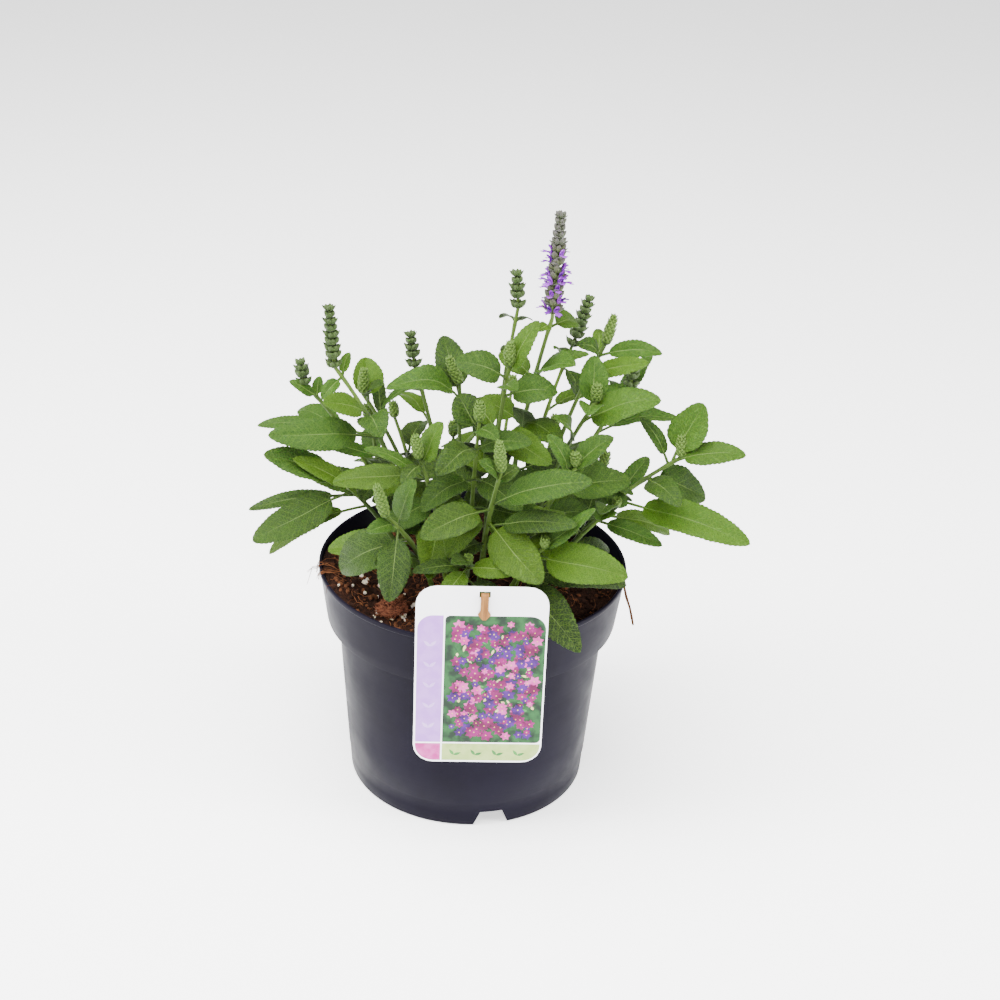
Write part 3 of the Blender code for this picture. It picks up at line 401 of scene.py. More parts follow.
def variants(item):
    """The leaf as planned, then turned, raised, lowered and shortened step by step."""
    yield item
    base = item["base"]
    reach = item["point"] - base
    for size in (1.0, 0.88, 0.74, 0.6):
        for lift in (0.0, 5.0, -5.0, 10.0, -9.0):
            for turn in (0, 9, -9, 18, -18, 30, -30):
                turned = reach.copy()
                turned.rotate(Matrix.Rotation(math.radians(turn), 3, "Z"))
                other = dict(item)
                other["point"] = base + turned * size + Vector((0, 0, lift))
                other["width"] = item["width"] * (0.4 + 0.6 * size)
                other["arch"] = item["arch"] * size
                yield aim_leaf(other)


def leaf_end(item):
    """A corner at the tip of the leaf's solid, on its upper face."""
    normal, side = item["axes"][1:]
    wave = item["wave"] * math.sin(WAVE_ALONG + WAVE_ACROSS + item["phase"])
    lift = TIP_HALF * (item["fold"] + wave) + LEAF_THICKNESS / 2.0
    return item["point"] + side * TIP_HALF + normal * lift


def as_built(item, tree):
    """The variant of a leaf that its solid holds, found among the corners of the solid."""
    for choice in variants(item):
        if tree.find(leaf_end(choice))[2] < MATCH:
            return choice
    return None


def matching_leaves(plans):
    """Every shoot's leaves in the state that the solids hold."""
    draw = random.Random(SEED)
    wanted = {}
    for name, plan in plans.items():
        wanted[name] = [planned_leaf(draw, plan, *line) for line in plan["leaves"]]
    for name, plan in plans.items():
        wanted[name].extend(filler_leaves(draw, plan))
    found = {}
    for name, items in wanted.items():
        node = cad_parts[name]
        tree = KDTree(len(node.data.vertices))
        for index, vert in enumerate(node.data.vertices):
            tree.insert((node.matrix_world @ vert.co) / MM - Vector(AXIS), index)
        tree.balance()
        built = [as_built(item, tree) for item in items]
        found[name] = [item for item in built if item]
    return found


def add_object(name, data):
    """A new object in the scene."""
    made = bpy.data.objects.new(name, data)
    bpy.context.scene.collection.objects.link(made)
    return made


def mesh_object(name, shape):
    """A new object from a bmesh, which is used up."""
    mesh = bpy.data.meshes.new(name)
    shape.to_mesh(mesh)
    shape.free()
    return add_object(name, mesh)


def make_camera():
    """The photograph's view: fitted to the pot's outlines."""
    tilt = math.radians(CAMERA_TILT)
    roll = math.radians(CAMERA_ROLL)
    target = Vector([aim + axis for aim, axis in zip(CAMERA_AIM, AXIS)]) * MM
    back = Vector((0.0, -math.cos(tilt), math.sin(tilt)))
    right = Vector((1.0, 0.0, 0.0))
    up = right.cross(-back)
    side = math.cos(roll) * right + math.sin(roll) * up
    top = -math.sin(roll) * right + math.cos(roll) * up
    data = bpy.data.cameras.new("camera")
    data.sensor_width = 36.0
    data.lens = CAMERA_LENS
    data.clip_end = 20.0
    camera = add_object("camera", data)
    turn = Matrix((side, top, back)).transposed().to_4x4()
    camera.matrix_world = Matrix.Translation(target + back * CAMERA_REACH * MM) @ turn
    bpy.context.scene.camera = camera


def add_lamp(name, place, aim_z, size, watts):
    """A soft box."""
    data = bpy.data.lights.new(name, "AREA")
    data.shape = "RECTANGLE"
    data.size, data.size_y = size
    data.energy = watts
    lamp = add_object(name, data)
    lamp.location = place
    lamp.rotation_euler = (Vector((0.0, 0.0, aim_z)) - Vector(place)).to_track_quat("-Z", "Y").to_euler()


def make_studio():
    """A white floor under soft boxes, in an even white room."""
    world = bpy.data.worlds.new("room")
    bpy.context.scene.world = world
    world.use_nodes = True
    sky = world.node_tree.nodes["Background"]
    sky.inputs["Color"].default_value = (1.0, 1.0, 1.0, 1.0)
    sky.inputs["Strength"].default_value = ROOM_LIGHT
    for lamp in LAMPS:
        add_lamp(*lamp)
    shape = bmesh.new()
    bmesh.ops.create_grid(shape, x_segments=4, y_segments=4, size=4.0)
    floor = mesh_object("studio_floor", shape)
    floor.location.z = -FLOOR_DROP
    paper = Paint("floor_paper", roughness=0.9, specular=0.1)
    paper.set(paper.shader, {"Emission Color": "#ffffff", "Emission Strength": FLOOR_GLOW})
    floor.data.materials.append(paper.out("#ffffff"))


def linear(code):
    """A linear colour from its sRGB hex code."""
    found = []
    for place in (1, 3, 5):
        value = int(code[place:place + 2], 16) / 255.0
        found.append(value / 12.92 if value <= 0.04045 else ((value + 0.055) / 1.055) ** 2.4)
    return (*found, 1.0)


class Paint:
    """A Principled material with short calls for the nodes that feed it. Colours are hex codes."""

    def __init__(self, name, roughness=0.5, specular=0.5, sheen=0.0, subsurface=0.0):
        self.material = bpy.data.materials.new(name)
        self.material.use_nodes = True
        self.tree = self.material.node_tree
        self.shader = self.tree.nodes["Principled BSDF"]
        self.set(self.shader, {"Roughness": roughness, "Specular IOR Level": specular, "Sheen Weight": sheen})
        if subsurface > 0.0:
            self.set(self.shader, {"Subsurface Weight": subsurface, "Subsurface Radius": (0.4, 0.8, 0.1),
                                   "Subsurface Scale": 0.002})
        self.coords = self.node("ShaderNodeTexCoord").outputs["Object"]

    def node(self, kind, **values):
        made = self.tree.nodes.new(kind)
        for key, value in values.items():
            setattr(made, key, value)
        return made

    def link(self, source, target):
        """Feeds a socket from another one, a colour code or a number."""
        if isinstance(source, str):
            target.default_value = linear(source)
        elif hasattr(source, "is_linked"):
            self.tree.links.new(source, target)
        else:
            target.default_value = source

    def set(self, node, values):
        """Feeds a node's sockets by their names."""
        for label, value in values.items():
            self.link(value, node.inputs[label])
        return node

    def feed(self, node, *values):
        """Feeds the first sockets that a node uses and gives its output."""
        sockets = [socket for socket in node.inputs if socket.enabled]
        for socket, value in zip(sockets, values):
            self.link(value, socket)
        return next(socket for socket in node.outputs if socket.enabled)

    def attribute(self, name):
        return self.node("ShaderNodeAttribute", attribute_name=name).outputs["Fac"]

    def math(self, operation, *values):
        return self.feed(self.node("ShaderNodeMath", operation=operation), *values)

    def scaled(self, value, factor, plus=0.0):
        return self.math("MULTIPLY_ADD", value, factor, plus)

    def point(self, *values):
        return self.feed(self.node("ShaderNodeCombineXYZ"), *values)

    def remap(self, value, low, high, to_low=0.0, to_high=1.0):
        made = self.node("ShaderNodeMapRange", interpolation_type="SMOOTHSTEP")
        return self.feed(made, value, low, high, to_low, to_high)

    def mix(self, share, first, second):
        return self.feed(self.node("ShaderNodeMix", data_type="RGBA"), share, first, second)

    def noise(self, scale, detail=3.0, rough=0.5, stretch=None):
        place = self.coords
        if stretch is not None:
            place = self.set(self.node("ShaderNodeMapping"), {"Vector": place, "Scale": stretch}).outputs[0]
        values = {"Vector": place, "Scale": scale, "Detail": detail, "Roughness": rough}
        return self.set(self.node("ShaderNodeTexNoise"), values).outputs["Fac"]

    def cells(self, scale, place, feature="F1"):
        made = self.node("ShaderNodeTexVoronoi", feature=feature)
        return self.set(made, {"Vector": place, "Scale": scale}).outputs["Distance"]

    def bump(self, height, strength, distance):
        made = self.node("ShaderNodeBump")
        self.set(made, {"Height": height, "Strength": strength, "Distance": distance})
        self.set(self.shader, {"Normal": made.outputs[0]})

    def out(self, colour, roughness=None):
        self.set(self.shader, {"Base Color": colour})
        if roughness is not None:
            self.set(self.shader, {"Roughness": roughness})
        return self.material


def leaf_paint(name, dark, light, warm, vein, rib, under=False):
    """Wrinkled sage leaf: pale midrib, faint side veins, a fine dark net between them, soft sheen."""
    paint = Paint(name, specular=0.14, sheen=0.05 if under else 0.0, subsurface=0.08)
    across = paint.attribute("across_mm")
    tone = paint.attribute("tone")
    reach = paint.math("ABSOLUTE", across)
    lean = paint.scaled(reach, -VEIN_LEAN, paint.attribute("along_mm"))
    lean = paint.scaled(paint.noise(110.0, 2.0), 2.6, lean)
    side_vein = paint.remap(paint.math("PINGPONG", lean, VEIN_PITCH / 2.0), 0.04, 0.26, 1.0, 0.0)
    rib_end = paint.remap(paint.attribute("share"), 0.35, 0.92, 1.0, 0.1)
    midrib = paint.scaled(paint.remap(reach, 0.1, 0.34, 1.0, 0.0), rib_end)
    grid = paint.point(paint.scaled(across, 0.72), paint.scaled(lean, 0.85), tone)
    net = paint.cells(1.15, grid, "DISTANCE_TO_EDGE")
    fine = paint.remap(net, 0.0, 0.2, 1.0, 0.0)
    # The dark-to-light green follows noise and the leaf's tone, which holds painted shade on low inner leaves
    # and painted light on high outer ones.
    shade = paint.scaled(paint.noise(38.0), 0.6, paint.scaled(tone, 1.1))
    base = paint.mix(paint.remap(shade, 0.4, 1.3), dark, light)
    hue = paint.math("FRACT", paint.scaled(tone, 9.7))
    base = paint.mix(paint.remap(hue, 0.5, 1.0, 0.0, 0.6), base, warm)
    base = paint.mix(paint.remap(net, 0.06, 0.5, 0.0, 0.38), base, dark)
    base = paint.mix(paint.scaled(fine, 0.21), base, vein)
    base = paint.mix(paint.scaled(side_vein, 0.35 if under else 0.24), base, vein)
    base = paint.mix(paint.scaled(midrib, 0.45), base, rib)
    height = paint.scaled(fine, -0.9, paint.scaled(side_vein, -0.5))
    height = paint.scaled(paint.noise(2400.0, 2.0), 0.3, height)
    paint.bump(paint.scaled(height, -1.0 if under else 1.0), 0.8, 0.00045)
    return paint.out(base, paint.remap(paint.noise(160.0), 0.3, 0.75, 0.42, 0.62))


def stem_paint(name, pale, dark, tip):
    """Pale square stem with darker grooves and a little purple, and its heads of green buds."""
    paint = Paint(name, roughness=0.6, specular=0.15, sheen=0.05, subsurface=0.08)
    streak = paint.noise(60.0, stretch=(1.0, 1.0, 0.12))
    base = paint.mix(paint.remap(streak, 0.3, 0.7), dark, pale)
    base = paint.mix(paint.attribute("tone"), base, tip)
    paint.bump(paint.noise(1900.0, 2.0, stretch=(1.0, 1.0, 0.4)), 0.4, 0.0003)
    return paint.out(base)


class Skin:
    """Collects corners, faces, material numbers and leaf coordinates for one mesh."""

    def __init__(self):
        self.points = []
        self.faces = []
        self.slots = []
        self.marks = []
        self.count = 0

    def add(self, points, faces, slot, tone=0.0, leaf=(0.0, 0.0, 0.0)):
        """points (n, 3), faces as index rows, and for a leaf: across, along and share of the blade."""
        across, along, share = leaf
        marks = [np.broadcast_to(mark, (len(points),)) for mark in (across, along, tone, share)]
        self.points.append(points)
        self.faces.extend((face + self.count).tolist() for face in faces)
        self.slots.extend([slot] * len(faces))
        self.marks.append(np.stack(marks, axis=1))
        self.count += len(points)

    def object(self, name, materials, smooth=True):
        points = (np.concatenate(self.points) + np.array(AXIS)) * MM
        mesh = bpy.data.meshes.new(name)
        mesh.from_pydata(points.tolist(), [], self.faces)
        marks = np.concatenate(self.marks)
        for column, label in enumerate(("across_mm", "along_mm", "tone", "share")):
            layer = mesh.attributes.new(label, "FLOAT", "POINT")
            layer.data.foreach_set("value", marks[:, column].astype(np.float32))
        for material in materials:
            mesh.materials.append(material)
        mesh.polygons.foreach_set("material_index", self.slots)
        mesh.polygons.foreach_set("use_smooth", [smooth] * len(mesh.polygons))
        mesh.update()
        piece = add_object(name, mesh)
        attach(piece, "root")
        return piece


def grid_faces(rows, columns, closed=False, flip=False):
    """Quads between rows of corners; closed joins the last column to the first."""
    last = columns if closed else columns - 1
    row, column = np.meshgrid(np.arange(rows - 1), np.arange(last), indexing="ij")
    first = (row * columns + column).ravel()
    second = (row * columns + (column + 1) % columns).ravel()
    faces = np.stack((first, second, second + columns, first + columns), axis=1)
    return faces[:, ::-1] if flip else faces


def fan(hub, start, count, flip=False):
    """Triangles from a hub to the closed ring of corners that begins at start."""
    ring = start + np.arange(count)
    after = np.roll(ring, -1)
    first, second = (ring, after) if flip else (after, ring)
    return np.stack((np.full(count, hub), first, second), axis=1)


def normals_of(grid):
    """Unit normals of a (rows, columns, 3) surface."""
    down = np.gradient(grid, axis=0)
    side = np.gradient(grid, axis=1)
    found = np.cross(side, down)
    size = np.linalg.norm(found, axis=2, keepdims=True)
    return found / np.maximum(size, 1e-9)


def thick_sheet(skin, grid, thickness, upper, lower, tone=0.0, leaf=(0.0, 0.0, 0.0)):
    """A sheet with two faces and a rim, from its middle surface."""
    rows, columns = grid.shape[:2]
    size = rows * columns
    offset = normals_of(grid) * np.asarray(thickness)[..., None] / 2.0
    tone, *leaf = (np.broadcast_to(mark, (rows, columns)).ravel() for mark in (tone, *leaf))
    skin.add((grid + offset).reshape(-1, 3), grid_faces(rows, columns), upper, tone, leaf)
    skin.add((grid - offset).reshape(-1, 3), grid_faces(rows, columns, flip=True), lower, tone, leaf)
    index = np.arange(size).reshape(rows, columns)
    ring = np.concatenate((index[0, :-1], index[:-1, -1], index[-1, :0:-1], index[:0:-1, 0]))
    after = np.roll(ring, -1)
    rim = np.stack((after, ring, ring + size, after + size), axis=1) + skin.count - 2 * size
    skin.faces.extend(rim.tolist())
    skin.slots.extend([lower] * len(rim))


def tube(skin, centres, radii, slot, tone, sides, square=0.0, turn=0.0):
    """A closed tube along points; square flattens it to the four-cornered stem of the mint family."""
    centres = np.asarray(centres, dtype=float)
    tangent = np.gradient(centres, axis=0)
    tangent /= np.maximum(np.linalg.norm(tangent, axis=1, keepdims=True), 1e-9)
    start = (1.0, 0.0, 0.0) if abs(tangent[0, 0]) < 0.8 else (0.0, 1.0, 0.0)
    first = np.cross(tangent[0], start)
    angle = np.linspace(0.0, 2.0 * np.pi, sides, endpoint=False)
    swell = 1.0 + square * np.cos(4.0 * (angle + turn))
    points = []
    for centre, radius, ahead in zip(centres, radii, tangent):
        first = first - ahead * first.dot(ahead)
        first /= max(np.linalg.norm(first), 1e-9)
        ring = np.outer(np.cos(angle), first) + np.outer(np.sin(angle), np.cross(ahead, first))
        points.append(centre + ring * (radius * swell)[:, None])
    points = np.concatenate(points + [centres[:1], centres[-1:]])
    size = len(centres) * sides
    faces = [*grid_faces(len(centres), sides, closed=True), *fan(size, 0, sides),
             *fan(size + 1, size - sides, sides, flip=True)]
    skin.add(points, faces, slot, tone)


def spindle(skin, foot, aim, length, width, slot, tone, tone_top=None, sides=8, rings=6, ribs=0.12, top=0.3):
    """A bud: a closed, ribbed, pointed body of revolution."""
    foot, aim = np.asarray(foot), unit(aim)
    side = unit(np.cross(aim, (0.31, 0.52, 0.79)))
    other = np.cross(aim, side)
    share = np.linspace(0.0, 1.0, rings + 1)
    outline = np.sin(np.pi * share ** (1.0 - top)) ** 0.75
    angle = np.linspace(0.0, 2.0 * np.pi, sides, endpoint=False)
    points = [foot]
    for place, size in zip(share[1:-1], outline[1:-1]):
        reach = width / 2.0 * size * (1.0 + ribs * np.cos(angle * (sides // 2)))
        ring = np.outer(np.cos(angle) * reach, side) + np.outer(np.sin(angle) * reach, other)
        points.extend(foot + aim * length * place + ring)
    points.append(foot + aim * length)
    points = np.array(points)
    end = len(points) - 1
    faces = [*fan(0, 1, sides), *(grid_faces(rings - 1, sides, closed=True) + 1),
             *fan(end, end - sides, sides, flip=True)]
    if tone_top is not None:
        level = (points - foot) @ aim / length
        tone = tone + (tone_top - tone) * level ** 2
    skin.add(points, faces, slot, tone)


def fine_leaf(skin, item, tone):
    """A leaf with crenate edges, a sunken midrib and side veins, and the puckered cells between."""
    base, tip = np.array(item["base"]), np.array(item["point"])
    normal, side = (np.array(axis) for axis in item["axes"][1:])
    stalk, width, phase = item["stalk"], item["width"], item["phase"]
    length = np.linalg.norm(tip - base)
    teeth = max(5, round(length * (1.0 - stalk) / TOOTH_PITCH))
    blade = stalk + (1.0 - stalk) * np.linspace(0.0, 1.0, teeth * TOOTH_ROWS + 1)
    along = np.concatenate((np.linspace(0.0, stalk, STALK_ROWS)[:-1], blade))
    place = np.clip((along - stalk) / (1.0 - stalk), 0.0, 1.0)
    outline = np.maximum(np.sin(np.pi * place ** BLADE_LEAN), 0.0) ** BLADE_FULL
    outline[along <= stalk] = 0.0
    half = np.maximum(width / 2.0 * outline, STALK_HALF * 0.8 * (1.0 - along) + 0.12)
    tooth = np.abs(np.sin(np.pi * teeth * place + 0.2)) ** 0.6
    notch = np.minimum(0.85, 0.09 * half + 0.22) * (1.0 - tooth) * (place > 0.02)

    # From here on rows run along the leaf and columns across it.
    v = np.sin(np.linspace(-0.5, 0.5, LEAF_COLUMNS) * np.pi * 0.94)[None, :] / math.sin(0.47 * math.pi)
    u, place, half, notch = (value[:, None] for value in (along, place, half, notch))
    half = half - notch * np.abs(v) ** 3
    reach = np.abs(v) * half
    vein = np.sin(np.pi * (u * length - VEIN_LEAN * reach + phase) / VEIN_PITCH)
    fade = np.clip(place / 0.05, 0.0, 1.0) * np.clip((1.0 - place) / 0.08, 0.0, 1.0)
    size = min(1.0, width / 18.0)
    blister = np.sin(np.pi * reach / BLISTER_PITCH + 1.3 * vein)
    pucker = 0.6 * (np.abs(vein) ** 0.6 - 0.5) + 0.5 * blister
    lift = PUCKER * size * pucker * (1.0 - 0.4 * np.abs(v) ** 4) * fade
    lift = lift - GROOVE * size * np.exp(-(reach / 0.8) ** 2) * fade
    lift = lift + item["fold"] * np.sqrt(v * v + 0.012) * half
    lift = lift + item["wave"] * half * v * v * np.sin(WAVE_ALONG * u + phase + WAVE_ACROSS * v)
    lift = lift + 0.035 * half * np.abs(v) ** 3 * np.sin(2.0 * np.pi * place * (teeth / 4.1) + phase + v)
    lift = lift - 0.10 * half * np.abs(v) ** 5 * fade
    lift = lift - 0.07 * length * np.clip(place - 0.55, 0.0, 1.0) ** 2
    lift = lift + 0.02 * length * np.sin(2.0 * np.pi * u + 2.0 * phase) * np.clip(place / 0.3, 0.0, 1.0)
    lift = lift + item["arch"] * 4.0 * u * (1.0 - u)
    shift = v * half + 0.025 * length * np.sin(np.pi * u + phase) * place
    grid = base + (tip - base) * u[..., None] + side * shift[..., None] + normal * lift[..., None]
    thickness = np.where(place > 0.0, BLADE_SHEET, STALK_SHEET)
    thick_sheet(skin, grid, thickness, UPPER, LOWER, tone, (v * half, u * length + phase, place))


def unit(vector):
    """A direction, one long."""
    vector = np.asarray(vector, dtype=float)
    return vector / np.linalg.norm(vector)


def spokes(side, other, count, first, draw=None, jitter=0.0):
    """Directions spread evenly round an axis, each turned a little by chance where jitter is given."""
    for step in range(count):
        angle = first + math.tau * step / count
        if jitter > 0.0:
            angle += draw.uniform(-jitter, jitter)
        yield side * math.cos(angle) + other * math.sin(angle)


def bract(skin, foot, aim, up, length, width, slot, tone, tone_tip):
    """A small cupped and pointed leaf below a whorl, or a scale of a young head."""
    side = unit(np.cross(aim, up))
    normal = unit(np.cross(side, aim))
    along = np.linspace(0.0, 1.0, 6)[:, None]
    across = np.linspace(-1.0, 1.0, 5)[None, :]
    half = width / 2.0 * np.sin(np.pi * np.clip(along * 0.93 + 0.05, 0, 1) ** 0.62)
    lift = 0.55 * half * np.abs(across) - 0.14 * length * np.sin(np.pi * along)
    grid = foot + aim * (along * length)[..., None]
    grid = grid + side * (across * half)[..., None] + normal * lift[..., None]
    thick_sheet(skin, grid, 0.3, slot, slot, tone + (tone_tip - tone) * along ** 1.5)


def head_axes(foot, tip):
    foot, tip = np.array(foot), np.array(tip)
    axis = unit(tip - foot)
    side = unit(np.cross(axis, (0.2, 0.9, 0.1)))
    return foot, tip, axis, side, np.cross(axis, side)


def whorl_spike(skin, foot, tip, draw):
    """A drawn-out head: whorls of plump pointed buds over broad bracts, the lowest whorl set apart."""
    foot, tip, axis, side, other = head_axes(foot, tip)
    length = np.linalg.norm(tip - foot)
    whorls = max(4, round(length / WHORL_STEP))
    centres = [foot + axis * length * share for share in (0.0, 0.35, 0.7, 0.95)]
    tube(skin, centres, [1.0, 0.9, 0.7, 0.4], STEM, 0.2, 8)
    for ring in range(whorls):
        share = (ring + (0.35 if ring else 0.0)) / (whorls - 0.1)
        size = 1.32 * (1.0 - 0.42 * share ** 1.6) * (1.0 if ring else 0.9)
        place = foot + axis * length * share
        first = draw.uniform(-0.2, 0.2) + 0.5 * math.pi * (ring % 2)
        for out in spokes(side, other, 2, first):
            aim = unit(out * 0.75 + axis * 0.9)
            bract(skin, place + out * 0.9 - axis * 0.9, aim, axis, 6.0 * size, 5.8 * size, BUDS, 0.0, 0.3)
        for out in spokes(side, other, 6, first + math.pi / 6.0, draw, 0.12):
            aim = unit(out * (0.85 - 0.3 * share) + axis * 0.85)
            reach = 4.7 * size * draw.uniform(0.9, 1.1)
            spindle(skin, place + out * 0.7, aim, reach, 3.0 * size, BUDS, 0.1, 0.55, ribs=0.1, top=0.2)
    spindle(skin, tip - axis * 3.6, axis, 3.6, 2.8, BUDS, 0.4)


def scale_head(skin, foot, tip, draw):
    """A tight young head: an egg of small overlapping pointed scales."""
    foot, tip, axis, side, other = head_axes(foot, tip)
    length = np.linalg.norm(tip - foot)
    radius = min(0.86 * HEAD_RADIUS, 0.3 * length + 0.8)
    spindle(skin, foot - axis * 0.6, axis, length, 1.6 * radius, SCALES, 0.0, 0.3, 10, 8, 0.0, 0.2)
    rings = max(4, round(length / SCALE_STEP))
    for ring in range(rings):
        share = ring / rings
        girth = math.sin(math.pi * (0.2 + 0.74 * share)) ** 0.8
        for out in spokes(side, other, 7, math.pi * (ring % 2) / 7.0, draw, 0.08):
            place = foot + axis * length * share * 0.88 + out * radius * 0.62 * girth
            aim = unit(axis * (0.85 + 0.5 * share) + out * 0.5)
            reach = 3.5 * (1.0 - 0.25 * share) * draw.uniform(0.9, 1.1)
            bract(skin, place, aim, axis, reach, 3.0 * girth + 0.5, SCALES, 0.1 + 0.2 * share, 0.9)


def fine_stem(skin, plan, leaves, draw):
    """The square stem from its hole to its head, a little thicker at each pair of leaves."""
    foot = np.array(stem_point(plan, 0.0))
    centres = [foot - np.array((0.0, 0.0, HOLE_DEPTH - 1.0))]
    radii = [STEM_FOOT * 0.86]
    for share in np.linspace(0.0, 1.0, 26):
        swell = max([math.exp(-((share - item["height"]) / 0.022) ** 2) for item in leaves] + [0.0])
        centres.append(np.array(stem_point(plan, float(share))))
        radii.append((STEM_FOOT + (STEM_TOP - STEM_FOOT) * share) * 0.84 * (1.0 + 0.3 * swell))
    apex = np.array(plan["apex"])
    centres.append(apex + unit(apex - centres[-2]) * 0.8)
    radii.append(0.7)
    tube(skin, centres, radii, STEM, 0.0, 12, 0.13, draw.uniform(0.0, 1.5))
    for index in range(STEM_HAIRS):
        place = np.array(stem_point(plan, draw.uniform(0.25, 1.0)))
        angle = draw.uniform(0.0, 6.28)
        out = unit((math.cos(angle), math.sin(angle), draw.uniform(-0.1, 0.5)))
        hair(skin, place + out * 1.2, out, draw.uniform(0.7, 1.3))


def hair(skin, place, out, reach):
    """One short hair: a three-sided needle."""
    side = unit(np.cross(out, (0.3, 0.4, 0.86)))
    other = np.cross(out, side)
    ring = [side * 0.05, -side * 0.03 + other * 0.045, -side * 0.03 - other * 0.045]
    points = np.array([place - out * 0.3 + item for item in ring] + [place + out * reach])
    skin.add(points, np.array(((0, 2, 1), (0, 1, 3), (1, 2, 3), (2, 0, 3))), STEM, 0.9)


def make_shoots():
    """Every leafy shoot with its head."""
    plans = {**SHOOTS, **back_plans()}
    shoots = matching_leaves(plans)
    draw = random.Random(SEED + 21)
    finishes = [
        leaf_paint("leaf_upper", "#081802", "#27450c", "#3e5b06", "#5e7b24", "#768c4c"),
        leaf_paint("leaf_under", "#223410", "#364a21", "#3b5117", "#576f33", "#6e8152", under=True),
        stem_paint("stem_green", "#475e1e", "#2d4014", "#607537"),
        stem_paint("bud_olive", "#2d4016", "#1f2f0e", "#3f4e29"),
        stem_paint("bud_pale", "#304915", "#21390a", "#57702b"),
    ]
    for name, plan in plans.items():
        skin = Skin()
        for item in shoots[name]:
            # Painted shade and light: a leaf's tone rises with its height and with its distance from the
            # axis, on top of a random spread, so low inner leaves are painted darker, as if shaded by the
            # canopy, and high outer ones lighter, as if lit.
            height = (item["point"].z - 150.0) / 150.0
            side = abs(item["point"].x) / 140.0
            tone = 0.06 + 0.5 * height + 0.35 * side + draw.uniform(-0.22, 0.22)
            fine_leaf(skin, item, min(max(tone, 0.0), 1.0))
        fine_stem(skin, plan, shoots[name], draw)
        if (Vector(plan["tip"]) - Vector(plan["apex"])).length > LEAST_HEAD:
            grow_head = whorl_spike if name in WHORLED else scale_head
            grow_head(skin, plan["apex"], plan["tip"], draw)
        piece = skin.object("fine_" + name, finishes)
        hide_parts(name)


def petal(skin, path, widths, hood, rise, side, tone, lobed=False):
    """A petal: rows along a path, cupped by hood, with a lobed or rounded end."""
    across = np.linspace(-1.0, 1.0, PETAL_COLUMNS)
    forward = unit(path[-1] - path[0])
    rows = []
    for index, (centre, width) in enumerate(zip(path, widths)):
        end = (index / (PETAL_ROWS - 1)) ** 6
        reach = width / 2.0
        if lobed:
            jut = 0.9 * end * (np.cos(across * math.pi * 1.5) - 0.4)
        else:
            jut = -0.8 * end * across ** 2
        row = centre + np.outer(across * reach, side) + np.outer(-hood * across ** 2 * reach, rise)
        rows.append(row + np.outer(jut, forward))
    thick_sheet(skin, np.array(rows), 0.28, PETAL, PETAL, tone)


def floret(skin, place, aim, axis, reach, tone):
    """One sage flower: ribbed calyx, tube, hooded upper lip and broad lobed lower lip."""
    rise = unit(axis - aim * axis.dot(aim))
    side = np.cross(aim, rise)
    spindle(skin, place - aim * 1.2, aim, 6.0, 3.2, CALYX, 0.15, 0.9, 10, 7, 0.12, 0.1)
    start = place + aim * 1.6
    centres = [start + aim * step * reach for step in (0.0, 1.6, 3.2)]
    tube(skin, centres, [0.7, 0.9, 1.15], PETAL, tone, 8)
    mouth = start + aim * 2.2 * reach
    upper, lower, hooded, spread = [], [], [], []
    for t in np.arange(PETAL_ROWS) / (PETAL_ROWS - 1):
        upper.append(mouth + aim * (4.8 * t) * reach + rise * (0.7 + 1.9 * math.sin(2.3 * t)) * reach)
        lower.append(mouth + aim * (4.6 * t) * reach - rise * (0.5 + 0.6 * t + 2.2 * t * t) * reach)
        hooded.append((1.5 + 1.7 * math.sin(math.pi * min(1.0, 0.25 + 0.75 * t))) * reach * 0.95)
        spread.append((1.4 + 3.4 * t ** 1.4) * reach)
    spread[-1] *= 0.8
    petal(skin, upper, hooded, 0.75, rise, side, tone)
    petal(skin, lower, spread, -0.25, rise, side, tone + 0.15, lobed=True)


